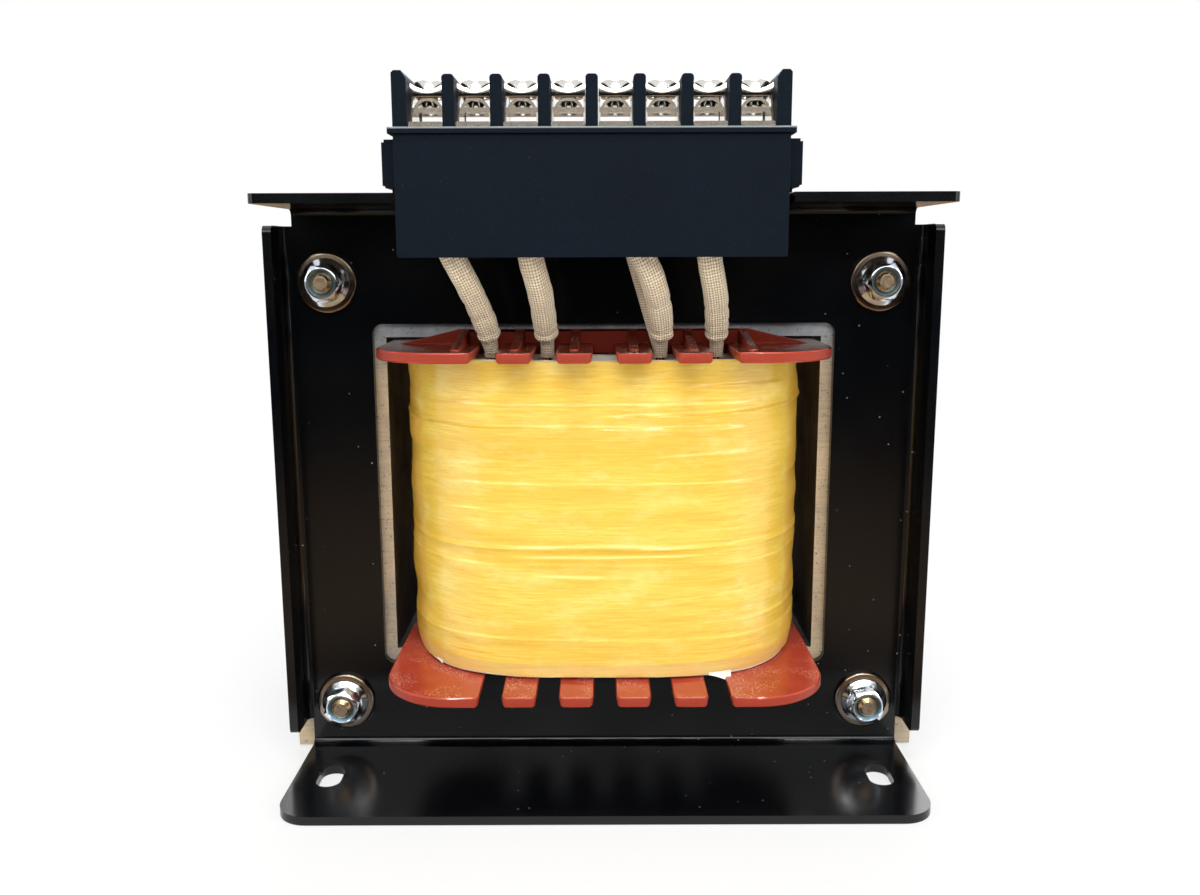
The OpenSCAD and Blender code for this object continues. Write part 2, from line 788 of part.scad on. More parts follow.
// Arched clamping washers that straddle the wire
module saddle_washers() {
    rise = saddle_h;
    half = saddle_w / 2;
    arc_r = (half * half + rise * rise) / (2 * rise);
    color("#c9cdd1") at_poles() difference() {
        intersection() {
            translate([0, half, rise - arc_r]) rotate([90, 0, 0]) cylinder(r = arc_r, h = saddle_w);
            translate([-half, -half, 0]) cube([saddle_w, saddle_w, rise]);
        }
        translate([0, half + 1, rise - arc_r]) rotate([90, 0, 0])
            cylinder(r = arc_r - saddle_t, h = saddle_w + 2);
        translate([0, 0, -1]) cylinder(d = screw_d + 0.4, h = rise + 2);
    }
}

module spring_washers() {
    color("#b9bec4") at_poles() translate([0, 0, saddle_h]) difference() {
        cylinder(d = screw_d + 3.2, h = spring_t);
        translate([0, 0, -1]) cylinder(d = screw_d + 0.4, h = spring_t + 2);
        translate([0, -0.4, -1]) cube([screw_d, 0.8, spring_t + 2]);
    }
}

// Pan-head screw with a cross recess, head upwards, its seat at z = 0
module pan_screw(len) {
    difference() {
        union() {
            translate([0, 0, -len]) cylinder(d = screw_d, h = len + 0.2);
            cylinder(d = head_d, h = head_h - head_cut);
            translate([0, 0, head_h - head_cut])
                cylinder(d1 = head_d, d2 = head_d - 1.6 * head_cut, h = head_cut);
        }
        for (a = [0, 90]) rotate([0, 0, a]) translate([-recess_w / 2, -recess_t / 2, head_h - recess_d])
            cube([recess_w, recess_t, 2 * recess_d]);
    }
}

module terminal_screws() {
    color("#d0d5da") at_poles() translate([0, 0, saddle_h + spring_t])
        pan_screw(saddle_h + spring_t + cage_plate_t - 0.2);
}

module block_screws() {
    color("#b9bec4") for (s = [-1, 1])
        translate([block_shift + s * block_screw_x, block_screw_y, flange_z])
            mirror([0, 0, 1]) pan_screw(block_screw_len + sheet_t - 1.5);
}

// ---------------------------------------------------------------- through bolts

module through_bolts() {
    seat_y = stack_d / 2 + sheet_t + washer_t;
    tip_y = -(seat_y + nut_h + bolt_tip);
    color("#b9a36a") at_bolts() {
        rod(0, 0, tip_y + tip_cut, seat_y + eps, bolt_d);
        translate([0, tip_y + tip_cut, 0]) rotate([90, 0, 0])
            cylinder(d1 = bolt_d, d2 = bolt_d - 2 * tip_cut, h = tip_cut);
        intersection() {
            translate([0, seat_y + bolt_head_h, 0]) rotate([90, 0, 0])
                cylinder(d = head_af / cos(30), h = bolt_head_h, $fn = 6);
            translate([0, seat_y, 0]) rotate([-90, 0, 0])
                cylinder(d1 = head_af * 2.6, d2 = head_af * 0.98, h = bolt_head_h);
        }
    }
}

// Ring of washer along Y, from y0 to y1
module washer_ring(y0, y1, d, hole) {
    difference() {
        rod(0, 0, y0, y1, d);
        rod(0, 0, y0 - 1, y1 + 1, hole);
    }
}

module front_washers() {
    y = plate_y;
    color("#8d8a83") at_bolts() washer_ring(y - washer_t, y, washer_d, bolt_d + washer_clear);
}

module rear_washers() {
    y = -plate_y;
    color("#8d8a83") at_bolts() washer_ring(y, y + washer_t, washer_d, bolt_d + washer_clear);
}

module flange_nuts() {
    seat_y = plate_y - washer_t;
    color("#ccd3da") at_bolts() difference() {
        union() {
            rod(0, 0, seat_y - nut_flange_t, seat_y, nut_flange_d);
            translate([0, seat_y - nut_flange_t, 0]) rotate([90, 0, 0])
                cylinder(d1 = nut_flange_d, d2 = nut_af, h = nut_cone_h);
            intersection() {
                translate([0, seat_y, 0]) rotate([90, 0, 0])
                    cylinder(d = nut_af / cos(30), h = nut_h, $fn = 6);
                translate([0, seat_y, 0]) rotate([90, 0, 0])
                    cylinder(d1 = nut_af * 3.4, d2 = nut_af * 0.96, h = nut_h);
            }
        }
        rod(0, 0, seat_y - nut_h - 1, seat_y + 1, bolt_d + 2 * thread_clear);
    }
}

// Insulating tubes that keep the bolts clear of the laminations
module bolt_sleeves() {
    outer = core_hole_d - 2 * tube_out_clear;
    half = stack_d / 2 - 0.1;
    color("#cdbf9a") at_bolts()
        washer_ring(-half, half, outer, bolt_d + 2 * tube_in_clear);
}

// ---------------------------------------------------------------- assembly

front_bracket();
rear_bracket();
e_laminations();
i_laminations();
bobbin();
primary_winding();
winding_paper();
secondary_winding();
cover_paper();
coil_tape();
lead_wire_1();
lead_wire_2();
lead_wire_3();
lead_wire_4();
lead_sleeve_1();
lead_sleeve_2();
lead_sleeve_3();
lead_sleeve_4();
terminal_block();
terminal_skirt();
contact_1();
contact_2();
contact_3();
contact_4();
contact_5();
contact_6();
contact_7();
contact_8();
saddle_washers();
spring_washers();
terminal_screws();
block_screws();
through_bolts();
rear_washers();
front_washers();
flange_nuts();
bolt_sleeves();
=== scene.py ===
# Laminated chassis transformer: looks and fine shapes, built round the CAD frame. +Z is up, X is
# the width, and the terminals face -Y. Nothing moves, so every piece rides the root body.
import json
import math

import bmesh
import bpy
import numpy as np
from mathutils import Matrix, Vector, noise

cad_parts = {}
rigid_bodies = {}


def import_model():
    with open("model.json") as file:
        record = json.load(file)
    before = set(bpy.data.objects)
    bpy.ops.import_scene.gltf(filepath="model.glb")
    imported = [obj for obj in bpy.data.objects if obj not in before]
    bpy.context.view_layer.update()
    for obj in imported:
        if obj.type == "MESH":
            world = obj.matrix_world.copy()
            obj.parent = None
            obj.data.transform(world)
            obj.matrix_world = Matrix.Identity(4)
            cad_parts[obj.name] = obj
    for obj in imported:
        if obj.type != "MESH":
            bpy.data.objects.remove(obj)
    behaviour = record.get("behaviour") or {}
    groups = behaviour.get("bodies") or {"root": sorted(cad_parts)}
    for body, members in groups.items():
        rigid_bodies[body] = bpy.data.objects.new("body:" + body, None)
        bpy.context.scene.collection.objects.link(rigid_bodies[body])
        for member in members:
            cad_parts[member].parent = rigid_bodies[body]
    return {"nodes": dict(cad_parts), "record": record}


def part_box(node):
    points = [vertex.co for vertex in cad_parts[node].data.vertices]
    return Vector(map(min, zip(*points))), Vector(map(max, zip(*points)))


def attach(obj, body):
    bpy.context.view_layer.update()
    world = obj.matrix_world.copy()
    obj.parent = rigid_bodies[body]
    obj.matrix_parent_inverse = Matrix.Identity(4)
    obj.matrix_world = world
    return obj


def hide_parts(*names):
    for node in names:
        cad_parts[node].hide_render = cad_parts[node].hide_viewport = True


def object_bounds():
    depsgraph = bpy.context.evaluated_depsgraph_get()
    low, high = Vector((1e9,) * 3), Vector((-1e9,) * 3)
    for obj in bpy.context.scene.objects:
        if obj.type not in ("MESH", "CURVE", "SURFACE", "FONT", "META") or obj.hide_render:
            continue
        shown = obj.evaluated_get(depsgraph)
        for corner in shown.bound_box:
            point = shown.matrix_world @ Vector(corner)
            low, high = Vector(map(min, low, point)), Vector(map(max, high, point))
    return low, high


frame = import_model()
CAD_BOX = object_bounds()
NODES = frame["nodes"]
SCENE = bpy.context.scene
IN_SCENE = SCENE.collection.objects
MM = 0.001
TAU = 2 * math.pi

# -------- small helpers

NOISE, VORONOI = "ShaderNodeTexNoise", "ShaderNodeTexVoronoi"
VECTOR, SPLIT, RANGE = "ShaderNodeVectorMath", "ShaderNodeSeparateXYZ", "ShaderNodeMapRange"


def tint(code):
    """Linear colour from an sRGB hex value."""
    parts = [int(code[i : i + 2], 16) / 255 for i in (1, 3, 5)]
    return (*[c / 12.92 if c <= 0.04045 else ((c + 0.055) / 1.055) ** 2.4 for c in parts], 1.0)


def per(size_mm):
    """Texture scale whose features are about size_mm across."""
    return 1 / (size_mm * MM)


def plug(tree, node, inputs):
    """Sets inputs to values, or links them to a socket or to the first output of a node."""
    for key, value in inputs.items():
        if isinstance(value, bpy.types.Node):
            value = next(socket for socket in value.outputs if socket.enabled)
        if isinstance(value, bpy.types.NodeSocket):
            tree.links.new(value, node.inputs[key])
        else:
            node.inputs[key].default_value = value


def add(tree, kind, inputs=None, stops=(), **settings):
    """Adds a node with its settings, links and colour stops, and returns it."""
    made = tree.nodes.new(kind)
    for name, value in settings.items():
        setattr(made, name, value)
    plug(tree, made, inputs or {})
    for i, (place, value) in enumerate(stops):
        marks = made.color_ramp.elements
        mark = marks[i] if i < len(marks) else marks.new(place)
        mark.position = place
        mark.color = tint(value) if isinstance(value, str) else (value, value, value, 1)
    return made


def maths(tree, operation, *values):
    """Adds a math node on one to three values."""
    return add(tree, "ShaderNodeMath", dict(enumerate(values)), operation=operation)


def blend(tree, share, body, colour):
    """Mixes a share of a second colour into the first."""
    return add(tree, "ShaderNodeMix", {0: share, 6: body, 7: colour}, data_type="RGBA")


def along(tree, place, axis):
    """One coordinate of a vector."""
    return add(tree, SPLIT, {"Vector": place}).outputs[axis]


def ramp(tree, value, stops):
    """Colours or greys that a value runs through."""
    return add(tree, "ShaderNodeValToRGB", {"Fac": value}, stops)


def grain(tree, place, size_mm, detail, roughness=0.5):
    """Noise whose features are about size_mm across."""
    return add(tree, NOISE, {
        "Vector": place, "Scale": per(size_mm), "Detail": detail, "Roughness": roughness})


def bumped(tree, height, deep_mm, normal=None):
    """Bump from a height pattern, on top of an earlier bump if there is one."""
    under = {"Normal": normal} if normal else {}
    return add(tree, "ShaderNodeBump", {"Height": height, "Distance": deep_mm * MM, **under})


def surface(name, **sockets):
    """A new material: returns it with its tree, its shader and object-space coordinates."""
    material = bpy.data.materials.new(name)
    material.use_nodes = True
    tree = material.node_tree
    shader = tree.nodes["Principled BSDF"]
    plug(tree, shader, {key.replace("_", " "): value for key, value in sockets.items()})
    return material, tree, shader, add(tree, "ShaderNodeTexCoord").outputs["Object"]


def drawn_out(tree, place, sizes_mm, detail, roughness=0.5):
    """Noise whose features are drawn out to a size along each axis."""
    scale = tuple(per(size) for size in sizes_mm)
    stretched = add(tree, VECTOR, {0: place, 1: scale}, operation="MULTIPLY")
    return add(tree, NOISE, {
        "Vector": stretched, "Scale": 1.0, "Detail": detail, "Roughness": roughness})


def laid_over(tree, body, colour, pattern, stops):
    """Lays a colour over the body wherever a pattern is strong."""
    return blend(tree, ramp(tree, pattern, stops), body, tint(colour))


# -------- camera

CAMERA_AT = (-0.0012, -0.3656, 0.1530)
CAMERA_PITCH, CAMERA_YAW, CAMERA_ROLL = 10.2, 0.04, 0.17

lens = bpy.data.cameras.new("camera")
lens.sensor_width = 36.0
lens.lens = 32.6
lens.clip_start = 0.01
camera = bpy.data.objects.new("camera", lens)
camera.location = CAMERA_AT
camera.rotation_euler = [math.radians(a) for a in (90 - CAMERA_PITCH, CAMERA_ROLL, -CAMERA_YAW)]
IN_SCENE.link(camera)
SCENE.camera = camera
SCENE.view_settings.view_transform = "Standard"

# -------- studio

FLOOR_Z = CAD_BOX[0].z - 0.2 * MM
FLOOR_HALF = 6.0
AMBIENT = 0.3
AIM_AT = (0, 0, 0.09)
CLOTH_HALF_TURN = math.radians(46)
CLOTH_FRONT = 0.15


def softbox(name, place, size, watts):
    """Studio softbox that faces the middle of the object."""
    lamp = bpy.data.lights.new(name, "AREA")
    lamp.shape = "RECTANGLE"
    lamp.size, lamp.size_y = size
    lamp.energy = watts
    holder = bpy.data.objects.new(name, lamp)
    holder.location = place
    facing = Vector(AIM_AT) - Vector(place)
    holder.rotation_euler = facing.to_track_quat("-Z", "Y").to_euler()
    IN_SCENE.link(holder)


def looked_at(tree):
    """1 for what the eye, metal and glass see, 0 for the rest."""
    ray = add(tree, "ShaderNodeLightPath").outputs
    seen = maths(tree, "MAXIMUM", ray["Is Camera Ray"], ray["Is Glossy Ray"])
    return maths(tree, "MAXIMUM", seen, ray["Is Transmission Ray"])


def white_studio():
    """White backdrop for what the eye, metal and glass see; a plain ambient level for the rest."""
    world = bpy.data.worlds.new("studio")
    world.use_nodes = True
    SCENE.world = world
    tree = world.node_tree
    tree.nodes.clear()
    ambient = add(tree, "ShaderNodeBackground", {"Color": tint("#f4f6ff"), "Strength": AMBIENT})
    backdrop = add(tree, "ShaderNodeBackground", {"Color": tint("#ffffff"), "Strength": 1.0})
    both = add(tree, "ShaderNodeMixShader", {0: looked_at(tree), 1: ambient, 2: backdrop})
    add(tree, "ShaderNodeOutputWorld", {"Surface": both})


def staged(name, points, faces, material):
    """A flat studio prop that isn't part of the object."""
    mesh = bpy.data.meshes.new(name)
    mesh.from_pydata(points, [], faces)
    mesh.materials.append(material)
    made = bpy.data.objects.new(name, mesh)
    IN_SCENE.link(made)
    return made


def floor():
    """Plain pale studio floor at the level of the feet. It glows towards white away from the
    object, and keeps the object's shadow close to it."""
    material, tree, shader, place = surface("pale_studio_paper", Roughness=0.9)
    plug(tree, shader, {"Base Color": tint("#f2f2f0"), "Specular IOR Level": 0.1})
    away = add(tree, VECTOR, {0: place}, operation="LENGTH").outputs["Value"]
    fade = add(tree, RANGE, {
        "Value": away, "From Min": 0.14, "From Max": 0.5, "To Min": 0.62, "To Max": 1.0})
    share = maths(tree, "MULTIPLY", looked_at(tree), fade)
    glow = add(tree, "ShaderNodeEmission", {"Color": tint("#ffffff"), "Strength": 1.0})
    both = add(tree, "ShaderNodeMixShader", {0: share, 1: shader, 2: glow})
    plug(tree, tree.nodes["Material Output"], {"Surface": both})
    corners = ((-1, -1), (1, -1), (1, 1), (-1, 1))
    staged("studio_floor", [(x * FLOOR_HALF, y * FLOOR_HALF, FLOOR_Z) for x, y in corners],
           [(0, 1, 2, 3)], material)


def table_cloth():
    """Black felt just before the feet, then kraft paper, black cloth and grey card further out,
    all glowing at their own colours instead of being lit. It shows only in reflections, where it
    gives gloss paint its depth and warmth, and plated metal its dark and grey bands."""
    material, tree, shader, place = surface("glowing_kraft_and_black_cloth", Roughness=1.0)
    split = add(tree, SPLIT, {"Vector": place})
    away = add(tree, VECTOR, {0: place}, operation="LENGTH").outputs["Value"]
    hue = ramp(tree, away, [
        (0.125, "#050608"), (0.15, "#8c765e"), (0.2, "#cdae8a"), (0.42, "#a5876b"),
        (0.64, "#2b241f"), (0.82, "#050608")])
    card = ramp(tree, split.outputs["Z"], [(0.29, 0.0), (0.35, 1.0)])
    hue = blend(tree, card, hue, tint("#b4a798"))
    behind = maths(tree, "GREATER_THAN", split.outputs["Y"], 0.0)
    hue = blend(tree, behind, hue, tint("#b3926c"))
    # The cloth glows at its colours; nothing lights it.
    plug(tree, shader, {"Base Color": tint("#000000"), "Specular IOR Level": 0.0,
                        "Emission Color": hue, "Emission Strength": 1.0})
    points, faces, steps = [], [], 12
    for middle, wall in ((0.0, 0.6), (math.pi, 0.25)):
        rings = [(0.1, 0.001), (0.2, 0.001), (0.7, 0.002), (1.6, 0.02),
                 (1.6, wall / 2), (1.6, wall)]
        start = len(points)
        for r, z in rings:
            for k in range(steps + 1):
                turn = middle + CLOTH_HALF_TURN * (2 * k / steps - 1)
                straight = r / math.cos(turn - middle) if r < CLOTH_FRONT else r
                points.append((straight * math.sin(turn), -straight * math.cos(turn), z))
        faces += [(start + i * (steps + 1) + k, start + i * (steps + 1) + k + 1,
                   start + (i + 1) * (steps + 1) + k + 1, start + (i + 1) * (steps + 1) + k)
                  for i in range(len(rings) - 1) for k in range(steps)]
    made = staged("table_cloth", points, faces, material)
    for sight in ("visible_camera", "visible_diffuse", "visible_shadow", "visible_transmission"):
        setattr(made, sight, False)


white_studio()
floor()
table_cloth()
for name, place, size, watts in (
        ("key_softbox", (0.05, -1.2, 0.74), (1.3, 0.5), 9.2),
        ("strip_softbox", (0.0, -0.62, 1.3), (0.7, 0.1), 7),
        ("left_softbox", (-1.3, -0.9, 0.6), (0.5, 0.7), 6),
        ("right_softbox", (1.3, -0.9, 0.6), (0.5, 0.7), 8),
        ("rear_softbox", (0.1, 1.35, 0.9), (1.3, 0.8), 13),
        ("top_softbox", (0.0, 0.15, 1.5), (1.0, 1.0), 4)):
    softbox(name, place, size, watts)

# -------- materials

BOBBIN_END, BOBBIN_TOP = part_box("bobbin")[1][1:]
TAPE_FOOT, TAPE_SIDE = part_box("coil_tape")[0][2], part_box("coil_tape")[1][0]
# Front edge of the ledge under the contacts, where a highlight is painted
LEDGE_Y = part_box("terminal_block")[0][1]
LEDGE_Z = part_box("contact_1")[0][2] + 11 * MM


def stoved_black_paint():
    """Alkyd enamel stoved on sheet steel: deep blue-black gloss, a fine orange peel that greys it
    a little, and a few dust specks caught in it."""
    material, tree, shader, place = surface("gloss_stoved_black_paint_on_steel", IOR=1.42)
    cloud = grain(tree, place, 28, 3.0)
    peel = grain(tree, place, 0.8, 3.0, 0.6)
    dust = add(tree, VORONOI, {"Vector": place, "Scale": per(3.4)})
    grit = ramp(tree, dust.outputs["Distance"], [(0.0, 1.0), (0.06, 1.0), (0.085, 0.0)])
    kept = ramp(tree, dust.outputs["Color"], [(0.72, 0.0), (0.74, 1.0)])
    speck = maths(tree, "MULTIPLY", grit, kept)
    body = blend(tree, cloud, tint("#030406"), tint("#07090c"))
    body = laid_over(tree, body, "#0e1216", peel, [(0.45, 0.0), (0.7, 0.3)])
    body = blend(tree, speck, body, tint("#6a7078"))
    mist = ramp(tree, cloud, [(0.3, 0.13), (0.7, 0.22)])
    rough = maths(tree, "MULTIPLY_ADD", speck, 0.3, mist)
    pimple = bumped(tree, speck, 0.04)
    orange = bumped(tree, peel, 0.012, pimple)
    plug(tree, shader, {"Base Color": body, "Roughness": rough, "Normal": orange})
    return material


def varnished_laminations():
    """Stamped electrical steel. The flat faces are dull beige with rolling lines, pits and stains,
    and colder grey above the coil; the sheared edges carry black varnish. The 0.5 mm sheets are
    drawn 1 mm apart, so that their lines show."""
    material, tree, shader, place = surface("varnished_electrical_steel_laminations", IOR=1.5)
    normal = add(tree, "ShaderNodeNewGeometry").outputs["Normal"]
    facing = along(tree, normal, "Y")
    flat = maths(tree, "ABSOLUTE", facing)
    flat = maths(tree, "GREATER_THAN", flat, 0.7)
    rolled = drawn_out(tree, place, (18, 0.4, 0.4), 4.0)
    blotch = grain(tree, place, 13, 5.0, 0.62)
    pits = grain(tree, place, 0.7, 2.0)
    bare = ramp(tree, blotch, [(0.3, "#a0978a"), (0.5, "#bfab8d"), (0.7, "#d2ba96")])
    height = along(tree, place, "Z")
    cold = add(tree, RANGE, {
        "Value": height, "From Min": BOBBIN_TOP - 14 * MM, "From Max": BOBBIN_TOP - 3 * MM})
    scratched = ramp(tree, blotch, [(0.3, "#6c7277"), (0.55, "#8d9195"), (0.75, "#b0b1b0")])
    bare = blend(tree, cold, bare, scratched)
    bare = laid_over(tree, bare, "#857b6e", rolled, [(0.45, 0.0), (0.75, 0.45)])
    bare = laid_over(tree, bare, "#3b342c", pits, [(0.64, 0.0), (0.7, 0.85)])
    sheets = drawn_out(tree, place, (60, 1.0, 60), 1.0)
    sheared = ramp(tree, sheets, [(0.3, "#0a0b0c"), (0.55, "#1d1c1b"), (0.75, "#3d3933")])
    rub = drawn_out(tree, place, (6, 2, 6), 4.0)
    sheared = laid_over(tree, sheared, "#8a7d6c", rub, [(0.6, 0.0), (0.78, 0.35)])
    body = blend(tree, flat, sheared, bare)
    rough = ramp(tree, blotch, [(0.3, 0.38), (0.75, 0.58)])
    lines = maths(tree, "SUBTRACT", 1.0, flat)
    lines = maths(tree, "MULTIPLY", sheets, lines)
    fine = bumped(tree, rolled, 0.01)
    steps = bumped(tree, lines, 0.25, fine)
    metal = maths(tree, "MULTIPLY", flat, 0.08)
    plug(tree, shader, {"Base Color": body, "Roughness": rough, "Normal": steps, "Metallic": metal})
    return material


def moulded_red_polyester():
    """Glass-filled polyester compression-moulded in brick red. Its flat faces took a gloss from
    the mould and show a dusting of pale glass flecks about 0.4 mm across; its rims are duller and
    painted darker as painted shade; the upper flange carries painted shade, dark brown on top and
    in its depth."""
    material, tree, shader, place = surface("moulded_brick_red_polyester", IOR=1.5)
    mottle, skin, glass, where = [
        grain(tree, place, size, detail)
        for size, detail in ((14, 2.0), (0.7, 2.0), (0.42, 1.0), (11, 2.0))]
    normal = add(tree, "ShaderNodeNewGeometry").outputs["Normal"]
    facing = along(tree, normal, "Z")
    upward = maths(tree, "ABSOLUTE", facing)
    rim = ramp(tree, upward, [(0.35, 1.0), (0.6, 0.0)])
    split = add(tree, SPLIT, {"Vector": place})
    upper = BOBBIN_TOP - 12 * MM
    high = maths(tree, "GREATER_THAN", split.outputs["Z"], upper)
    top = ramp(tree, facing, [(0.75, 0.0), (0.85, 1.0)])
    # Mask of the upper flange's top faces, where shade is painted.
    painted_shade_on_top = maths(tree, "MULTIPLY", high, top)
    reach = maths(tree, "ABSOLUTE", split.outputs["Y"])
    # Mask that grows into the upper flange's depth, where shade is painted and the gloss is
    # lowered.
    painted_shade_in_depth = add(tree, RANGE, {
        "Value": reach, "From Min": BOBBIN_END - 4 * MM, "From Max": BOBBIN_END - 22 * MM,
        "To Min": 0.0, "To Max": 0.85})
    painted_shade_in_depth = maths(tree, "MULTIPLY", high, painted_shade_in_depth)
    body = ramp(tree, mottle, [(0.3, "#a43722"), (0.5, "#ae3f29"), (0.7, "#b64830")])
    # Painted shade: rim faces are painted darker red.
    body = blend(tree, rim, body, tint("#963522"))
    # Painted shade: the upper flange's top faces are painted dark brown, where the skirt and top
    # flange shade them.
    body = blend(tree, painted_shade_on_top, body, tint("#4f261b"))
    # Painted shade: the upper flange is painted darker red-brown in its depth.
    body = blend(tree, painted_shade_in_depth, body, tint("#561c11"))
    body = laid_over(tree, body, "#8a2a18", skin, [(0.5, 0.0), (0.7, 0.18)])
    grit = ramp(tree, glass, [(0.6, 0.0), (0.66, 0.8)])
    dusty = ramp(tree, where, [(0.45, 0.0), (0.58, 1.0)])
    grit = maths(tree, "MULTIPLY", grit, dusty)
    grit = maths(tree, "MULTIPLY", grit, top)
    body = blend(tree, grit, body, tint("#e6b0a0"))
    rough = ramp(tree, rim, [(0.0, 0.17), (1.0, 0.42)])
    gloss = maths(tree, "MULTIPLY_ADD", painted_shade_in_depth, -0.25, 0.5)
    gloss = maths(tree, "MULTIPLY_ADD", rim, -0.25, gloss)
    fine = bumped(tree, skin, 0.008)
    plug(tree, shader, {
        "Base Color": body, "Roughness": rough, "Normal": fine, "Specular IOR Level": gloss})
    return material


def enamelled_copper():
    """Round copper wire under clear enamel, wound side by side, with its turns 1.4 mm apart:
    copper painted dark between the turns as painted shade, with a painted highlight along each
    turn."""
    material, tree, shader, place = surface("enamelled_copper_turns", Metallic=0.9, Roughness=0.32)
    height = along(tree, place, "Z")
    turn = maths(tree, "MULTIPLY", height, TAU * per(1.4))
    turn = maths(tree, "SINE", turn)
    # Painted shade between the turns and a painted highlight along each turn.
    body = ramp(tree, turn, [(0.0, "#5a2410"), (0.9, "#c8743a")])
    relief = bumped(tree, turn, 0.4)
    plug(tree, shader, {"Base Color": body, "Normal": relief})
    return material


def stranded_copper():
    """Bare copper strands laid at a slant, bright, with painted shade in the gaps between them.
    The 0.3 mm strands are drawn 1 mm apart, so that they show."""
    material, tree, shader, place = surface("stranded_copper_wire", Metallic=1.0, Roughness=0.35)
    slant = add(tree, VECTOR, {0: place, 1: (per(1.0), 0.0, per(1.3))}, operation="DOT_PRODUCT")
    strand = maths(tree, "MULTIPLY", slant.outputs["Value"], TAU)
    strand = maths(tree, "SINE", strand)
    # Painted shade: the copper is painted dark in the gaps between the strands.
    body = ramp(tree, strand, [(0.0, "#70371b"), (0.9, "#cd8350")])
    relief = bumped(tree, strand, 0.12)
    plug(tree, shader, {"Base Color": body, "Normal": relief})
    return material


def cellulose(name, light, dark):
    """Calendered cellulose, as paper or rolled tube: fibrous and nearly matt."""
    material, tree, shader, place = surface(name, IOR=1.5, Roughness=0.72)
    fibre = drawn_out(tree, place, (3, 3, 0.9), 4.0)
    cloud = grain(tree, place, 8, 2.0)
    share = maths(tree, "MULTIPLY", fibre, cloud)
    body = blend(tree, share, tint(light), tint(dark))
    relief = bumped(tree, fibre, 0.05)
    plug(tree, shader, {"Base Color": body, "Normal": relief})
    return material


def polyester_tape():
    """Yellow polyester film wound over the coil: glossy amber that lets a little light in, with
    fine streaks along the winding, deeper where more turns lie on each other, painted deeper
    amber towards both sides as painted shade where the film turns the corners, and a pale tan
    band along the lower rim, where one bare turn stands out."""
    material, tree, shader, place = surface("wound_yellow_polyester_tape", IOR=1.55)
    split = add(tree, SPLIT, {"Vector": place})
    streak = drawn_out(tree, place, (9, 9, 0.42), 6.0, 0.68)
    band = drawn_out(tree, place, (55, 55, 6), 4.0, 0.6)
    cloud = drawn_out(tree, place, (16, 16, 7), 5.0, 0.65)
    body = ramp(tree, streak, [
        (0.25, "#dba837"), (0.42, "#e6bd46"), (0.58, "#edcb56"), (0.78, "#f3dd7c")])
    body = laid_over(tree, body, "#e3b236", band, [(0.42, 0.5), (0.55, 0.0)])
    body = laid_over(tree, body, "#f4e38a", cloud, [(0.5, 0.0), (0.72, 0.55)])
    # Painted shade: the amber is painted deeper towards both sides of the coil, where the film
    # turns the corners away from the light.
    side = maths(tree, "ABSOLUTE", split.outputs["X"])
    side = maths(tree, "MULTIPLY_ADD", band, 6 * MM, side)
    side = maths(tree, "SUBTRACT", side, 3 * MM)
    side = add(tree, RANGE, {
        "Value": side, "From Min": TAPE_SIDE - 8.2 * MM, "From Max": TAPE_SIDE - 6.9 * MM})
    body = laid_over(tree, body, "#dfa22e", side, [(0.0, 0.0), (1.0, 0.6)])
    rim = add(tree, RANGE, {
        "Value": split.outputs["Z"], "From Min": TAPE_FOOT + 3 * MM, "From Max": TAPE_FOOT + 4 * MM,
        "To Min": 0.6, "To Max": 0.0})
    body = blend(tree, rim, body, tint("#dcb877"))
    rough = ramp(tree, cloud, [(0.3, 0.28), (0.75, 0.4)])
    film = drawn_out(tree, place, (26, 26, 3.2), 4.0)
    ripple = bumped(tree, film, 0.3)
    fine = bumped(tree, streak, 0.05, ripple)
    plug(tree, shader, {
        "Base Color": body, "Roughness": rough, "Normal": fine, "Coat Weight": 0.4,
        "Coat Roughness": 0.12, "Subsurface Weight": 0.15,
        "Subsurface Radius": (1.5 * MM, 0.9 * MM, 0.2 * MM)})
    return material


def glass_braid():
    """Varnished glass-fibre braid: cream yarns crossing at a steep angle, 0.8 mm apart, with a
    silky light on them and painted shade, darker tan, in the hollows between them."""
    material, tree, shader, place = surface("varnished_glass_fibre_braid", IOR=1.5, Roughness=0.5)
    plan = add(tree, "ShaderNodeUVMap", uv_map="braid")
    left = add(tree, VECTOR, {0: plan, 1: (TAU, TAU, 0)}, operation="DOT_PRODUCT")
    right = add(tree, VECTOR, {0: plan, 1: (TAU, -TAU, 0)}, operation="DOT_PRODUCT")
    left = maths(tree, "SINE", left.outputs["Value"])
    right = maths(tree, "SINE", right.outputs["Value"])
    cross = maths(tree, "MULTIPLY", left, right)
    yarn = maths(tree, "MULTIPLY_ADD", cross, 0.5, 0.5)
    stain = grain(tree, place, 5, 4.0)
    strand = grain(tree, place, 0.35, 2.0)
    # Painted shade: darker tan in the hollows between the yarns, cream on their crests.
    body = ramp(tree, yarn, [(0.05, "#8b7152"), (0.4, "#cfb894"), (0.75, "#f3e6cf")])
    body = laid_over(tree, body, "#c3a984", stain, [(0.5, 0.0), (0.75, 0.45)])
    body = laid_over(tree, body, "#8f7a5e", strand, [(0.35, 0.3), (0.6, 0.0)])
    relief = bumped(tree, yarn, 0.2)
    plug(tree, shader, {
        "Base Color": body, "Normal": relief, "Sheen Weight": 0.2, "Sheen Roughness": 0.4})
    return material


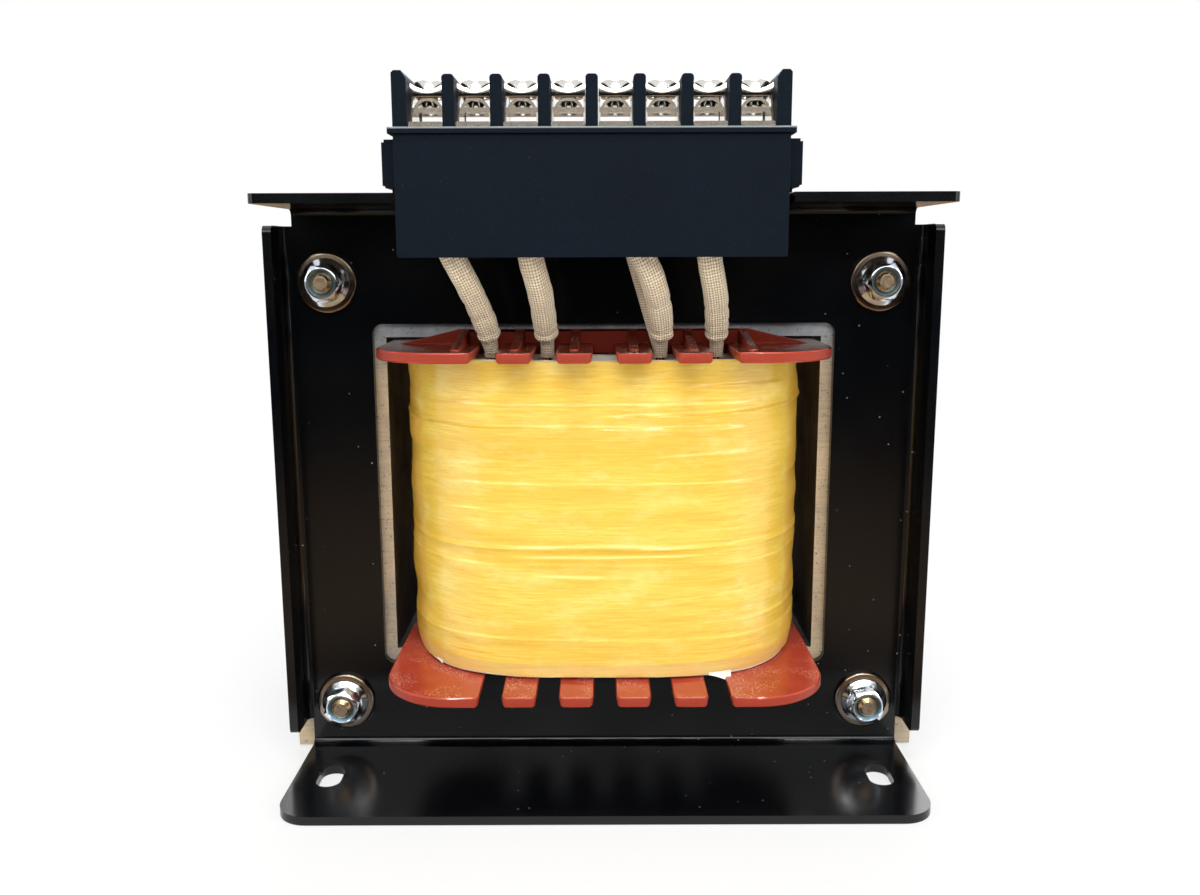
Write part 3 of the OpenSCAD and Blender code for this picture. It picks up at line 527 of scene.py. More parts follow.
def moulded_phenolic():
    """Compression-moulded phenolic: matt navy-black with a fine spark-eroded skin, rubbed pale
    here and there, and a painted highlight, pale grey, along the front edge of the ledge under
    the contacts."""
    material, tree, shader, place = surface("moulded_navy_black_phenolic", IOR=1.5)
    cloud, pit, rubs = [
        grain(tree, place, size, detail)
        for size, detail in ((16, 4.0), (0.6, 3.0), (1.1, 3.0))]
    body = blend(tree, cloud, tint("#070f17"), tint("#0a131c"))
    body = laid_over(tree, body, "#151f29", pit, [(0.5, 0.0), (0.75, 0.3)])
    body = laid_over(tree, body, "#3a444f", rubs, [(0.72, 0.0), (0.8, 0.3)])
    split = add(tree, SPLIT, {"Vector": place})
    level = split.outputs["Z"]
    # Painted highlight: a pale grey line along the front top edge of the ledge under the contacts.
    rise = add(tree, RANGE, {
        "Value": level, "From Min": LEDGE_Z - 0.5 * MM, "From Max": LEDGE_Z + 0.1 * MM})
    edge = ramp(tree, rise, [(0.0, 0.0), (0.5, 0.8), (1.0, 0.8)])
    front = maths(tree, "LESS_THAN", split.outputs["Y"], LEDGE_Y + 0.5 * MM)
    edge = maths(tree, "MULTIPLY", edge, front)
    low = maths(tree, "LESS_THAN", level, LEDGE_Z + 0.3 * MM)
    edge = maths(tree, "MULTIPLY", edge, low)
    body = blend(tree, edge, body, tint("#9aa2a4"))
    rough = ramp(tree, cloud, [(0.3, 0.5), (0.7, 0.62)])
    relief = bumped(tree, pit, 0.03)
    plug(tree, shader, {
        "Base Color": body, "Roughness": rough, "Normal": relief, "Specular IOR Level": 0.07})
    return material


def plated(name, base, dark, rough=(0.1, 0.2), ripple=0.012, stain=0.3):
    """Electroplated metal: a bright skin with faint ripples and a little tarnish."""
    material, tree, shader, place = surface(name, Metallic=1.0)
    cloud = grain(tree, place, 2.2, 4.0)
    fine = grain(tree, place, 1.2, 2.0)
    body = laid_over(tree, tint(base), dark, cloud, [(0.45, 0.0), (0.8, stain)])
    mist = ramp(tree, cloud, [(0.3, rough[0]), (0.75, rough[1])])
    relief = bumped(tree, fine, ripple)
    plug(tree, shader, {"Base Color": body, "Roughness": mist, "Normal": relief})
    return material


PAINT = stoved_black_paint()
CORE = varnished_laminations()
RED = moulded_red_polyester()
COPPER = enamelled_copper()
STRANDS = stranded_copper()
PAPER = cellulose("calendered_insulating_paper", "#f4f0e4", "#dccfb2")
FIBRE = cellulose("rolled_fibre_tube", "#b99a63", "#8a6d3f")
TAPE = polyester_tape()
BRAID = glass_braid()
PHENOLIC = moulded_phenolic()
NICKEL = plated("bright_nickel_plate_on_brass", "#dedcd6", "#93908a")
BRIGHT_ZINC = plated("bright_blue_zinc_plate", "#d6dee6", "#8a949d")
THREAD_ZINC = plated("blue_zinc_plate_in_the_thread", "#86aac2", "#587486", rough=(0.4, 0.5))
YELLOW_ZINC = plated("yellow_passivated_zinc", "#c9a67c", "#8a6e52", rough=(0.22, 0.38), stain=0.5)
SHEARED_STEEL = plated(
    "sheared_steel_bolt_end", "#a8947c", "#4f4234", rough=(0.35, 0.55), ripple=0.1, stain=0.9)
DULL_ZINC = plated("dull_zinc_plate", "#94877a", "#6a5f54", rough=(0.14, 0.24), ripple=0.01)

SLOT_MATERIAL = {
    "bracket_paint": PAINT, "core_steel": CORE, "bobbin_plastic": RED, "copper_wire": COPPER,
    "paper": PAPER, "tape": TAPE, "glass_sleeve": BRAID, "terminal_plastic": PHENOLIC,
    "nickel_plate": NICKEL, "bolt_sleeve": FIBRE, "yellow_zinc": YELLOW_ZINC,
    "washer_steel": DULL_ZINC, "bright_zinc": BRIGHT_ZINC,
}
SLOT = {part["node"]: part["material_slot"] for part in frame["record"]["subparts"]}

for name, thing in NODES.items():
    thing.data.materials.clear()
    bare_lead = name.startswith("lead_wire")
    thing.data.materials.append(STRANDS if bare_lead else SLOT_MATERIAL[SLOT[name]])

# -------- pieces

POLES = range(1, 9)


def settle(piece, slot, *nodes):
    """Puts a finished piece on the body, in the place of its CAD nodes."""
    IN_SCENE.link(piece)
    if nodes:
        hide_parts(*nodes)
    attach(piece, "root")
    return piece


# An edge counts as sharp from this turn, in degrees. Its neighbour carries on the same run above
# this cosine, and otherwise may lose this share of its length to the rounding.
SHARP_FROM, SAME_RUN, EDGE_SHARE = 40, 0.8, 0.45


def smooth(mesh, angle):
    """Smooth shading, broken at edges sharper than the angle."""
    mesh.polygons.foreach_set("use_smooth", [True] * len(mesh.polygons))
    mesh.set_sharp_from_angle(angle=math.radians(angle))


def apply_modifiers(piece):
    """Makes what the modifiers show the piece's own mesh."""
    tools = bpy.context.evaluated_depsgraph_get()
    final = bpy.data.meshes.new_from_object(piece.evaluated_get(tools))
    piece.modifiers.clear()
    piece.data = final


def eased(name, radius_mm, segments=2):
    """Copy of a CAD piece whose sharp edges are rounded, as pressing or moulding leaves them. An
    edge beside a short step is rounded less, so that the roundings don't run into each other, and
    the large flats lead the shading, so that only the rounded edges shade as round."""
    source = bmesh.new()
    source.from_mesh(NODES[name].data)
    bmesh.ops.remove_doubles(source, verts=source.verts, dist=1e-6)
    bmesh.ops.dissolve_limit(
        source, angle_limit=math.radians(0.6), use_dissolve_boundaries=False,
        verts=source.verts, edges=source.edges)
    weight = source.edges.layers.float.new("bevel_weight_edge")
    for edge in source.edges:
        if len(edge.link_faces) != 2 or edge.calc_face_angle() < math.radians(SHARP_FROM):
            continue
        room, run = radius_mm * MM, (edge.verts[1].co - edge.verts[0].co).normalized()
        for corner in edge.verts:
            for other in corner.link_edges:
                turn = abs(run.dot((other.verts[1].co - other.verts[0].co).normalized()))
                if other is not edge and turn < SAME_RUN:
                    room = min(room, EDGE_SHARE * other.calc_length())
        edge[weight] = room / (radius_mm * MM)
    mesh = bpy.data.meshes.new(name + "_source")
    source.to_mesh(mesh)
    source.free()
    made = bpy.data.objects.new(name + "_eased", mesh)
    IN_SCENE.link(made)
    bevel = made.modifiers.new("ease", "BEVEL")
    bevel.width = radius_mm * MM
    bevel.segments = segments
    bevel.limit_method = "WEIGHT"
    bevel.use_clamp_overlap = True
    bevel.miter_outer = "MITER_ARC"
    apply_modifiers(made)
    smooth(made.data, SHARP_FROM)
    flats = made.modifiers.new("flats", "WEIGHTED_NORMAL")
    flats.weight, flats.keep_sharp = 100, True
    apply_modifiers(made)
    IN_SCENE.unlink(made)
    made.data.materials.clear()
    made.data.materials.append(SLOT_MATERIAL[SLOT[name]])
    return settle(made, SLOT[name], name)


def mesh_piece(name, points, faces, material, slot, *nodes, angle=32):
    """A piece from points in millimetres, with every face turned outwards."""
    mesh = bpy.data.meshes.new(name)
    mesh.from_pydata([tuple(c * MM for c in p) for p in points], [], faces)
    mesh.validate()
    shape = bmesh.new()
    shape.from_mesh(mesh)
    bmesh.ops.recalc_face_normals(shape, faces=shape.faces)
    shape.to_mesh(mesh)
    shape.free()
    smooth(mesh, angle)
    mesh.materials.append(material)
    return settle(bpy.data.objects.new(name, mesh), slot, *nodes)


def millimetres(name):
    """Low and high corners of a CAD node's box."""
    low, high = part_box(name)
    return np.array(low) / MM, np.array(high) / MM


def joined(parts):
    """Several (points, faces) forms as one."""
    points, faces = [], []
    for more_points, more_faces in parts:
        start = len(points)
        points += more_points
        faces += [tuple(start + i for i in face) for face in more_faces]
    return points, faces


def grid_faces(rows, count):
    """Faces between rings of points that each close on themselves."""
    return [
        (r * count + k, r * count + (k + 1) % count,
         (r + 1) * count + (k + 1) % count, (r + 1) * count + k)
        for r in range(rows - 1) for k in range(count)]


def plate_faces(rows, columns):
    """Faces of a thin plate: two skins of (rows + 1) by (columns + 1) points, and its border."""
    wide, skin = columns + 1, (rows + 1) * (columns + 1)
    faces = []
    for r in range(rows):
        for c in range(columns):
            a = r * wide + c
            faces += [(a, a + 1, a + wide + 1, a + wide),
                      (skin + a, skin + a + wide, skin + a + wide + 1, skin + a + 1)]
    border = [*range(columns), *range(columns, skin - 1, wide)]
    border += [*range(skin - 1, skin - wide, -1), *range(skin - wide, 0, -wide)]
    return faces + [(b, a, skin + a, skin + b) for a, b in zip(border, border[1:] + border[:1])]


def turned(profile, count, at, rise=(0, -1, 0)):
    """A turned form: (along, radius) pairs spun about an axis that rises from a point."""
    at, rise, across = np.array(at), np.array(rise), np.array((1, 0, 0))
    deep = np.cross(rise, across)
    points = []
    for along, radius in profile:
        for k in range(count):
            turn = TAU * k / count
            spoke = math.cos(turn) * across + math.sin(turn) * deep
            points.append(tuple(at + along * rise + radius * spoke))
    return points, grid_faces(len(profile), count)


for name, radius_mm, segments in (
        ("front_bracket", 0.35, 3), ("rear_bracket", 0.35, 3), ("bobbin", 0.38, 1),
        ("terminal_block", 0.4, 3), ("terminal_skirt", 0.35, 2),
        ("e_laminations", 0.16, 2), ("i_laminations", 0.16, 2),
        *[(f"contact_{pole}", 0.12, 2) for pole in POLES], ("saddle_washers", 0.15, 2)):
    eased(name, radius_mm, segments)

# ---- coil

COIL_CORNER = 3.4
TAPE_LOW, TAPE_HIGH = millimetres("coil_tape")


def distances(line):
    """How far along a line each of its points lies."""
    return np.concatenate([[0], np.cumsum(np.linalg.norm(np.diff(line, axis=0), axis=1))])


def coil_outline(half_x, half_y, corner, count):
    """Points round the coil at even steps, with the outward direction at each."""
    fine = np.linspace(0, TAU, 4001)
    c, s = np.cos(fine), np.sin(fine)
    xy = np.stack([
        half_x * np.sign(c) * np.abs(c) ** (2 / corner),
        half_y * np.sign(s) * np.abs(s) ** (2 / corner)], 1)
    run = distances(xy)
    steps = np.linspace(0, run[-1], count, endpoint=False)
    at = np.stack([np.interp(steps, run, xy[:, 0]), np.interp(steps, run, xy[:, 1])], 1)
    along = np.roll(at, -1, 0) - np.roll(at, 1, 0)
    along /= np.linalg.norm(along, axis=1)[:, None]
    return at, np.stack([along[:, 1], -along[:, 0]], 1)


def wave(x, y, z, size, seed):
    """Smooth random height from -1 to 1, with swells of about the given size."""
    return noise.noise(Vector((x / size[0] + seed, y / size[1], z / size[2])))


# Creases of the film, in millimetres: side (-1 front, 1 rear), height, from x, to x, rise, fall
# below, tilt. The film fades into a crease over CREASE_FADE, and drops by CREASE_DROP above it.
CREASE_FADE, CREASE_DROP = 12, 0.4
CREASES = (
    (-1, 106.6, -66, 40, 0.8, 1.7, -0.01), (-1, 110.4, -2, 66, 0.7, 1.5, 0.035),
    (-1, 73.6, -62, 62, 0.7, 1.3, 0.0), (-1, 71.0, -28, 34, 0.45, 1.6, 0.008),
    (-1, 65.4, -24, 8, 0.4, 1.6, -0.008), (-1, 99.3, 10, 60, 0.25, 1.4, 0.03),
    (-1, 84.0, -60, -20, 0.22, 1.6, -0.02), (-1, 52.0, 30, 64, 0.25, 1.4, 0.02),
    (-1, 117.5, 20, 60, 0.25, 1.8, 0.01), (-1, 96.5, -60, -30, 0.3, 1.5, 0.01),
    (1, 101.0, -60, 52, 0.7, 1.6, 0.01), (1, 80.5, -40, 64, 0.55, 1.5, -0.01),
    (1, 58.0, -62, 20, 0.45, 1.6, 0.02), (1, 67.0, 8, 60, 0.35, 1.4, 0.0),
    (1, 112.0, -50, 10, 0.35, 1.6, -0.02),
)
# Upper edges of the overlapping turns of tape, how far they stand out and fade downwards
LAPS, LAP_MM, LAP_FADE = (47.5, 69.0, 91.6, 113.0), 0.22, 3
# Swell of the whole winding, and the looser film on its two sides: from x, fade, height
CROWN_MM = 0.5
SIDE_FROM, SIDE_FADE, SIDE_MM = 46, 10, 0.7


def film_offset(x, y, z):
    """How far the film stands out from the plain outline at a point, in millimetres."""
    share = (z - TAPE_LOW[2]) / (TAPE_HIGH[2] - TAPE_LOW[2])
    off = CROWN_MM * (1 - (2 * share - 1) ** 4)
    off += 0.3 * wave(x, y, z, (34, 34, 9), 3.1) + 0.12 * wave(x, y, z, (15, 15, 2.2), 8.7)
    side_on = min(1.0, max(0.0, (abs(x) - SIDE_FROM) / SIDE_FADE))
    off += side_on * SIDE_MM * wave(x, y, z, (26, 26, 7), 15.3)
    for lap in LAPS:
        under = lap + 0.8 * wave(x, y, 0, (60, 60, 1), lap) - z
        if 0 <= under < LAP_FADE:
            off += LAP_MM * (1 - under / LAP_FADE) ** 2
    for side, height, start, end, rise, fall, tilt in CREASES:
        if side * y < 0:
            continue
        fade = min(1.0, (x - start) / CREASE_FADE, (end - x) / CREASE_FADE)
        if fade <= 0:
            continue
        line = height + tilt * (x - (start + end) / 2) + 0.5 * wave(x, 0, 0, (30, 1, 1), height)
        gap = z - line
        if -6 < gap < 4:
            fold = math.exp(gap / fall) if gap < 0 else math.exp(-((gap / CREASE_DROP) ** 2))
            trough = 0.3 * math.exp(-(((gap - 1.2) / 0.8) ** 2))
            off += rise * fade * (fold - trough)
    return off


def wound_ring(
        name, half, corner, low, high, rows, count, thick, offset, edge, material, slot, node):
    """Closed band round the coil: outer skin, rims and inner skin."""
    at, out = coil_outline(half[0], half[1], corner, count)
    points = []
    for level in np.linspace(0, 1, rows):
        for (x, y), (nx, ny) in zip(at, out):
            z = low + (high - low) * level + edge(x, y, level)
            off = offset(x, y, z)
            points.append((x + nx * off, y + ny * off, z))
    for level in (1, 0):
        for (x, y), (nx, ny) in zip(at, out):
            z = low + (high - low) * level + edge(x, y, level)
            points.append((x - nx * thick, y - ny * thick, z))
    faces = grid_faces(rows + 2, count)
    last = (rows + 1) * count
    faces += [(last + i, last + (i + 1) % count, (i + 1) % count, i) for i in range(count)]
    return mesh_piece(name, points, faces, material, slot, node, angle=50)


def tape_edge(x, y, level):
    """The rims of the tape wander a little."""
    near_rim = max(0.0, abs(2 * level - 1) * 12 - 11)
    return near_rim * 0.5 * wave(x, y, level * 40, (9, 9, 1), 21.0)


wound_ring(
    "wound_coil_tape", TAPE_HIGH[:2], COIL_CORNER, TAPE_LOW[2], TAPE_HIGH[2] + 0.35, 250, 360, 1.0,
    film_offset, tape_edge, TAPE, "tape", "coil_tape")


def paper_edge(x, y, level):
    """The paper's two rims wave."""
    lift = 0.16 * wave(x, y, level * 50, (13, 13, 1), 5.0)
    lift += 0.1 * wave(x, y, level * 50, (4, 4, 1), 9.0)
    return lift if level in (0, 1) else 0.0


PAPER_LOW, PAPER_HIGH = millimetres("cover_paper")
wound_ring(
    "cover_paper_liner", PAPER_HIGH[:2], COIL_CORNER + 0.2, PAPER_LOW[2] + 0.1, PAPER_HIGH[2] - 0.1,
    4, 300, 0.45, lambda x, y, z: 0.0, paper_edge, PAPER, "paper", "cover_paper")


def rim_y(x):
    """Front of the coil at a distance from its middle."""
    return -TAPE_HIGH[1] * (1 - abs(x / TAPE_HIGH[0]) ** COIL_CORNER) ** (1 / COIL_CORNER)


def paper_flag(name, x0, top, size, curl):
    """Loose corner of the cover paper, bent out under the tape's lower rim."""
    rows, columns, thick, stand_off = 8, 12, 0.14, 0.35
    points = []
    for skin in (0.0, thick):
        for r in range(rows + 1):
            for c in range(columns + 1):
                u, v = c / columns, r / rows
                x = x0 + size[0] * (u - 0.5)
                clipped = 1 - 0.3 * max(0.0, u - 0.85) / 0.15
                drop = size[1] * v * (0.25 + 0.75 * u ** 1.5) * clipped
                points.append((x, rim_y(x) - curl * v * v * u - stand_off - skin, top - drop))
    return mesh_piece(name, points, plate_faces(rows, columns), PAPER, "paper", angle=60)


paper_flag("paper_flag_right", 32.2, TAPE_LOW[2] + 0.6, (6.4, 3.0), 1.6)
paper_flag("paper_flag_left", -47.6, TAPE_LOW[2] + 0.7, (2.2, 1.1), 0.6)

# ---- leads

SLEEVE_SIDES, SLEEVE_STEP = 104, 0.2
YARNS_AROUND, YARN_MM, YARN_RISE = 26, 0.78, 0.06
NECK_R, THROAT_R, TAIL_MM, TAIL_BELOW, FLARE_MM = 1.85, 1.5, 4.6, 2.2, 2.2


def centre_line(name, step=1.5):
    """Middle of a rising tube at even heights, from its cross-sections."""
    mesh = NODES[name].data
    co = np.array([v.co for v in mesh.vertices]) / MM
    ends = np.array([e.vertices for e in mesh.edges])
    a, b = co[ends[:, 0]], co[ends[:, 1]]
    low, high = co[:, 2].min() + 0.4, co[:, 2].max() - 0.4
    line = []
    for z in np.arange(low, high, step):
        cut = (a[:, 2] - z) * (b[:, 2] - z) < 0
        t = ((z - a[cut, 2]) / (b[cut, 2] - a[cut, 2]))[:, None]
        hit = a[cut] + t * (b[cut] - a[cut])
        line.append(((hit.min(0) + hit.max(0)) / 2).tolist())
    return np.array(line)


def resample(line, step):
    """The line with its points at even steps."""
    run = distances(line)
    at = np.arange(0, run[-1], step)
    return np.stack([np.interp(at, run, line[:, k]) for k in range(3)], 1)


def braided_sleeve(number, wide, flat, twist, folds):
    """Braid pulled over a lead: a soft tube, drawn in at its foot and creased where it bends.
    wide: radius; flat: how much the tube is pressed; twist: turn of the pressed side;
    folds: (distance along the sleeve, depth) of creases across it."""
    name = f"lead_sleeve_{number}"
    low, high = millimetres(name)
    line = centre_line(f"lead_wire_{number}")
    line = line[(line[:, 2] > low[2] - TAIL_BELOW) & (line[:, 2] < high[2] - 1)]
    evened = np.pad(line, ((2, 2), (0, 0)), mode="edge")
    line = np.stack([np.convolve(evened[:, k], np.ones(5) / 5, "valid") for k in range(3)], 1)
    line = resample(line, SLEEVE_STEP)
    points, plan = [], []
    count = len(line)
    for i, p in enumerate(line):
        ahead = line[min(i + 1, count - 1)] - line[max(i - 1, 0)]
        ahead /= np.linalg.norm(ahead)
        side = np.cross((1, 0, 0), ahead)
        side /= np.linalg.norm(side)
        over = np.cross(ahead, side)
        run = i * SLEEVE_STEP
        grown = min(1.0, max(0.0, (run - TAIL_MM) / FLARE_MM))
        grown = grown * grown * (3 - 2 * grown)
        radius = NECK_R + (wide - NECK_R) * grown
        for fold_at, depth in folds:
            radius -= depth * math.exp(-(((run - fold_at) / 0.8) ** 2))
        for k in range(SLEEVE_SIDES):
            turn = TAU * k / SLEEVE_SIDES
            u, v = turn / TAU * YARNS_AROUND, run / YARN_MM
            yarn = math.sin(math.pi * (u + v)) * math.sin(math.pi * (u - v))
            squeeze = math.cos(2 * (turn - twist))
            press = 1 - flat * grown * squeeze ** 2 * (0.5 + 0.5 * squeeze)
            ripple = 0.16 * noise.noise(Vector((
                2.2 * math.cos(turn), 2.2 * math.sin(turn) + number * 7, run / 3.4)))
            r = radius * press + ripple + YARN_RISE * yarn
            points.append(tuple(p + r * (math.cos(turn) * side + math.sin(turn) * over)))
            plan.append((u / 2, v / 2))
    faces = grid_faces(count, SLEEVE_SIDES)
    start = len(points)
    # both ends turn in to the throat, and a tube inside joins them
    for i in (count - 1, 0):
        middle = line[i]
        for k in range(SLEEVE_SIDES):
            q = np.array(points[i * SLEEVE_SIDES + k])
            points.append(tuple(middle + (q - middle) * (THROAT_R / np.linalg.norm(q - middle))))
            plan.append(plan[i * SLEEVE_SIDES + k])
    top = (count - 1) * SLEEVE_SIDES
    for k in range(SLEEVE_SIDES):
        m = (k + 1) % SLEEVE_SIDES
        faces.append((top + k, top + m, start + m, start + k))
        faces.append((start + k, start + m, start + SLEEVE_SIDES + m, start + SLEEVE_SIDES + k))
        faces.append((start + SLEEVE_SIDES + k, start + SLEEVE_SIDES + m, m, k))
    made = mesh_piece(
        f"braided_sleeve_{number}", points, faces, BRAID, "glass_sleeve", name, angle=70)
    layer = made.data.uv_layers.new(name="braid")
    for loop in made.data.loops:
        layer.data[loop.index].uv = plan[loop.vertex_index]
    # a face over the seam takes its braid from one side of it
    half = YARNS_AROUND / 2
    for face in made.data.polygons:
        us = [layer.data[i].uv[0] for i in face.loop_indices]
        if max(us) - min(us) > half / 2:
            for i in face.loop_indices:
                if layer.data[i].uv[0] < half / 2:
                    layer.data[i].uv[0] += half


braided_sleeve(1, 3.2, 0.18, 0.3, [(8.2, 0.3), (14, 0.2), (19, 0.2)])
braided_sleeve(2, 3.3, 0.12, 0.9, [(8.4, 0.45), (10.6, 0.2), (16, 0.2)])
braided_sleeve(3, 3.3, 0.14, 0.4, [(8.6, 0.5), (10.8, 0.2), (17.5, 0.4)])
braided_sleeve(4, 3.2, 0.2, 0.1, [(8, 0.35), (11.4, 0.2), (16, 0.3)])

# ---- fasteners

WASHER_LOW, WASHER_HIGH = millimetres("front_washers")
WASHER_R, WASHER_BORE_R = 8.75, 3.25
BOLT_X = (WASHER_HIGH[0] - WASHER_LOW[0]) / 2 - WASHER_R
BOLT_Z = (WASHER_LOW[2] + WASHER_R, WASHER_HIGH[2] - WASHER_R)
BOLTS = [(sx * BOLT_X, z) for sx in (-1, 1) for z in BOLT_Z]
BOLT_HIGH = millimetres("through_bolts")[1]
NUT_LOW, NUT_HIGH = millimetres("flange_nuts")
BOLT_R, SHANK_R, PITCH, THREAD_DEPTH, THREAD_LONG = 3.0, 2.95, 1.0, 0.55, 12
TIP_R, TIP_TAPER, TIP_LONG, BOLT_PROUD, HEAD_H = 2.1, 0.9, 0.12, 0.6, 4.0
NUT_AF, NUT_BORE_R, SINK_R, FACE_R, CHAMFER_SLOPE = 10, 3.08, 4.05, 4.3, 1.9
NUT_TURNS = (0.35, 0.1, 0.22, 0.05)


def hoop(at, y, radii):
    """Ring of points round a bolt's middle at a depth, one for each radius."""
    turns = [TAU * k / len(radii) for k in range(len(radii))]
    return [(at[0] + r * math.cos(turn), y, at[1] + r * math.sin(turn))
            for r, turn in zip(radii, turns)]


def thread_rings(at, front, back):
    """Rolled M6 thread that starts at the end of a rod, and its plain shank, without the tip."""
    count, steps = 48, 10
    points = []
    for i in range(THREAD_LONG * steps + 1):
        run = i / steps
        radii = [TIP_R + (BOLT_R - 0.05 - TIP_R) * run / TIP_TAPER] * count
        if run > TIP_TAPER:
            crests = [1 - abs(2 * ((run / PITCH - k / count) % 1.0) - 1) for k in range(count)]
            radii = [min(BOLT_R - THREAD_DEPTH * (1 - min(1.0, crest * 1.35)), BOLT_R - 0.02)
                     for crest in crests]
        points += hoop(at, front + TIP_LONG + run, radii)
    for y in (front + THREAD_LONG + 0.6, back):
        points += hoop(at, y, [SHANK_R] * count)
    return points, grid_faces(THREAD_LONG * steps + 3, count)


def hexagon(at, seat, height, sign, phase, bored):
    """Forged hexagon that stands out from a seat, with a turned chamfer on its face."""
    count, points, flat = 96, [], NUT_AF / 2
    levels = [0.0] + [height - drop for drop in (1.3, 0.8, 0.6, 0.45, 0.3, 0.15, 0.0)]
    for along in levels:
        off_flat = [(TAU * k / count - phase) % (math.pi / 3) - math.pi / 6 for k in range(count)]
        cone = FACE_R + (height - along) * CHAMFER_SLOPE
        points += hoop(at, seat + sign * along, [min(flat / math.cos(a), cone) for a in off_flat])
    rings = [(height, flat * 0.7), (height - 0.12, flat * 0.62), (height - 0.12, 0.01)]
    if bored:
        rings = [(height, SINK_R + 0.1), (height - 0.08, SINK_R)]
    for along, radius in rings:
        points += hoop(at, seat + sign * along, [radius] * count)
    return points, grid_faces(len(levels) + len(rings), count)


def flange_nuts():
    """Hexagon nuts on a dished flange that rises from its seat, and the countersunk bore of each,
    whose plating stays duller than the faces."""
    seat, height = NUT_HIGH[1], NUT_HIGH[1] - NUT_LOW[1]
    bodies, bores = [], []
    for (x, z), turn in zip(BOLTS, NUT_TURNS):
        dish = [(0.0, 3.2), (0.0, 6.0), (0.3, 6.75), (0.42, 6.95), (0.6, 7.0), (0.78, 6.92),
                (0.95, 6.6), (1.25, 5.95), (1.5, 5.4), (1.75, 5.1), (2.3, 5.0)]
        bodies.append(turned(dish, 96, (x, seat, z)))
        bodies.append(hexagon((x, z), seat - 1.0, height - 1.0, -1, turn, True))
        sink = [(height - 0.08, SINK_R), (height - 0.2, SINK_R - 0.1),
                (height - 0.85, NUT_BORE_R + 0.12), (height - 1.0, NUT_BORE_R), (0.2, NUT_BORE_R)]
        bores.append(turned(sink, 64, (x, seat, z)))
    for name, parts, material in (("flange_nuts_formed", bodies, BRIGHT_ZINC),
                                  ("flange_nut_bores", bores, THREAD_ZINC)):
        mesh_piece(name, *joined(parts), material, "bright_zinc", "flange_nuts", angle=28)


def through_bolts():
    """Four long bolts: thread in the nut, plain shank, forged hexagon head at the rear. The front
    end is sheared flat, which leaves it bare."""
    front, back = NUT_LOW[1] - BOLT_PROUD, BOLT_HIGH[1]
    rods, tips = [], []
    for (x, z), turn in zip(BOLTS, NUT_TURNS[::-1]):
        rods.append(thread_rings((x, z), front, back - HEAD_H + 0.1))
        rods.append(hexagon((x, z), back - HEAD_H, HEAD_H, 1, turn + 0.2, False))
        end = [(-TIP_LONG, TIP_R), (-0.02, TIP_R - 0.06), (0.0, TIP_R - 0.16),
               (-0.04, 1.2), (-0.07, 0.01)]
        tips.append(turned(end, 48, (x, front, z)))
    for name, parts, material in (("through_bolts_threaded", rods, YELLOW_ZINC),
                                  ("through_bolt_ends", tips, SHEARED_STEEL)):
        mesh_piece(name, *joined(parts), material, "yellow_zinc", "through_bolts", angle=30)


def washers(name, node):
    """Punched washers with a rolled outer edge and a sheared one."""
    low, high = millimetres(node)
    thick = high[1] - low[1]
    rim, bore = WASHER_R, WASHER_BORE_R
    ring = [(0.0, bore), (0.0, rim - 0.3), (0.12, rim - 0.07), (0.35, rim), (thick - 0.55, rim),
            (thick - 0.3, rim - 0.09), (thick - 0.12, rim - 0.28), (thick - 0.04, rim - 0.5),
            (thick, rim - 0.7), (thick, bore + 0.2), (thick - 0.15, bore), (0.0, bore)]
    parts = [turned(ring, 96, (x, high[1], z)) for x, z in BOLTS]
    mesh_piece(name, *joined(parts), DULL_ZINC, "washer_steel", node, angle=35)


def carve(made, cutters):
    """Cuts closed forms out of a piece, one group after another."""
    for points, faces in cutters:
        mesh = bpy.data.meshes.new("cutter")
        mesh.from_pydata([tuple(c * MM for c in p) for p in points], [], faces)
        tool = bpy.data.objects.new("cutter", mesh)
        IN_SCENE.link(tool)
        cut = made.modifiers.new("cut", "BOOLEAN")
        cut.object, cut.operation, cut.solver = tool, "DIFFERENCE", "EXACT"
        apply_modifiers(made)
        bpy.data.objects.remove(tool)
    smooth(made.data, 38)


def clamp_lips(middles, front, foot):
    """Turned-up lips of the wire clamps in front of the heads, hollowed along their top edge."""
    half, thick, low_mm, horn_mm, columns = 4.15, 0.45, 1.6, 1.7, 16
    shares, parts = (0.0, 0.08, 0.5, 0.93, 1.0), []
    for middle in middles:
        points = []
        for y in (front, front - thick):
            for share in shares:
                for c in range(columns + 1):
                    u = 2 * c / columns - 1
                    tall = low_mm + horn_mm * abs(u) ** 1.7
                    soft = 0.08 if share in (0.0, 1.0) and y != front else 0.0
                    points.append((middle + half * u, y + soft, foot + tall * share))
        parts.append((points, plate_faces(len(shares) - 1, columns)))
    mesh_piece("clamp_lips", *joined(parts), NICKEL, "nickel_plate", angle=50)


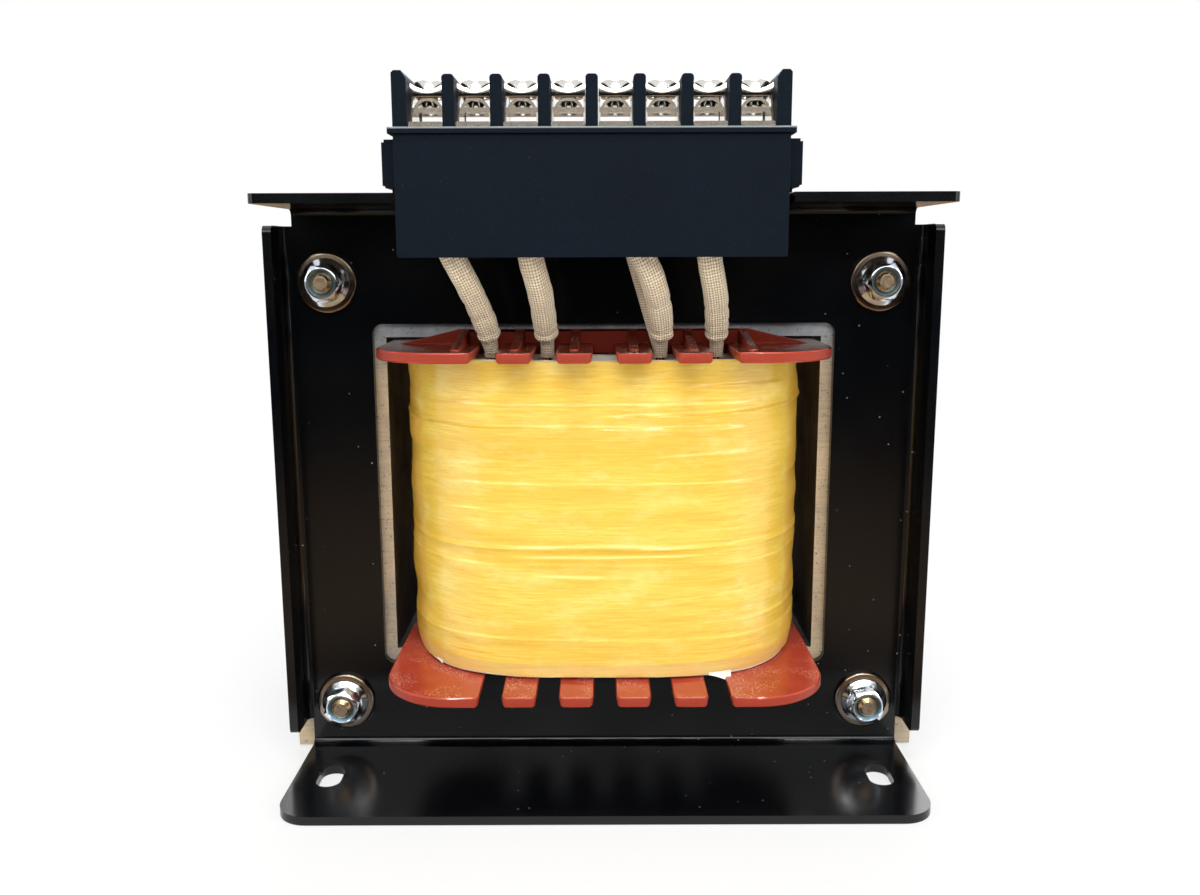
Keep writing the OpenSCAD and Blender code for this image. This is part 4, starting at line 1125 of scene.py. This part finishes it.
def terminal_screws():
    """Cheese-head screws with a rounded rim and a cross recess, each on a closed spring washer."""
    ring_low, ring_high = millimetres("spring_washers")
    head_low, head_high = millimetres("terminal_screws")
    seat, top, tail = ring_high[2], head_high[2] - ring_high[2], head_low[2] - ring_high[2]
    screw_y = (ring_low[1] + ring_high[1]) / 2
    ring_r = (ring_high[1] - ring_low[1]) / 2
    head_r = (head_high[1] - head_low[1]) / 2
    tall = ring_high[2] - ring_low[2] - 0.55
    hole_r, shank_r, recess_r, recess_w = 2.2, 1.95, 2.1, 0.5
    head = [(tail, 0.01), (tail, shank_r - 0.25), (tail + 0.5, shank_r), (-0.5, shank_r),
            (-0.5, head_r - 0.3), (-0.4, head_r - 0.08), (-0.2, head_r), (0.3, head_r),
            (top - 0.95, head_r - 0.45), (top - 0.65, head_r - 0.6), (top - 0.42, head_r - 0.9),
            (top - 0.3, head_r - 1.4), (top - 0.25, head_r - 2.2), (top - 0.25, 0.01)]
    ring = [(0.0, hole_r), (0.0, ring_r - 0.12), (0.12, ring_r), (tall - 0.12, ring_r),
            (tall, ring_r - 0.12), (tall, hole_r), (0.0, hole_r)]
    heads, rings, slits, poles = [], [], ([], []), []
    for pole in POLES:
        low, high = millimetres(f"contact_{pole}")
        at = ((low[0] + high[0]) / 2, screw_y)
        poles.append(at[0])
        heads.append(turned(head, 64, (*at, seat), (0, 0, 1)))
        rings.append(turned(ring, 48, (*at, ring_low[2]), (0, 0, 1)))
        for slit, half in zip(slits, ((recess_r, recess_w), (recess_w, recess_r))):
            slit.append((
                [(at[0] + sx * half[0] * share, at[1] + sy * half[1] * share, seat + z)
                 for share, z in ((0.45, top - 1.8), (1.0, top + 0.3))
                 for sx, sy in ((-1, -1), (1, -1), (1, 1), (-1, 1))],
                [(0, 3, 2, 1), (4, 5, 6, 7), *grid_faces(2, 4)]))
    made = mesh_piece(
        "cheese_head_terminal_screws", *joined(heads), NICKEL, "nickel_plate", "terminal_screws",
        angle=38)
    carve(made, [joined(slit) for slit in slits])
    clamp_lips(poles, screw_y - head_r - 0.05, seat - 1.1)
    mesh_piece(
        "closed_spring_washers", *joined(rings), BRIGHT_ZINC, "nickel_plate", "spring_washers",
        angle=38)


flange_nuts()
through_bolts()
washers("front_washers_punched", "front_washers")
washers("rear_washers_punched", "rear_washers")
terminal_screws()
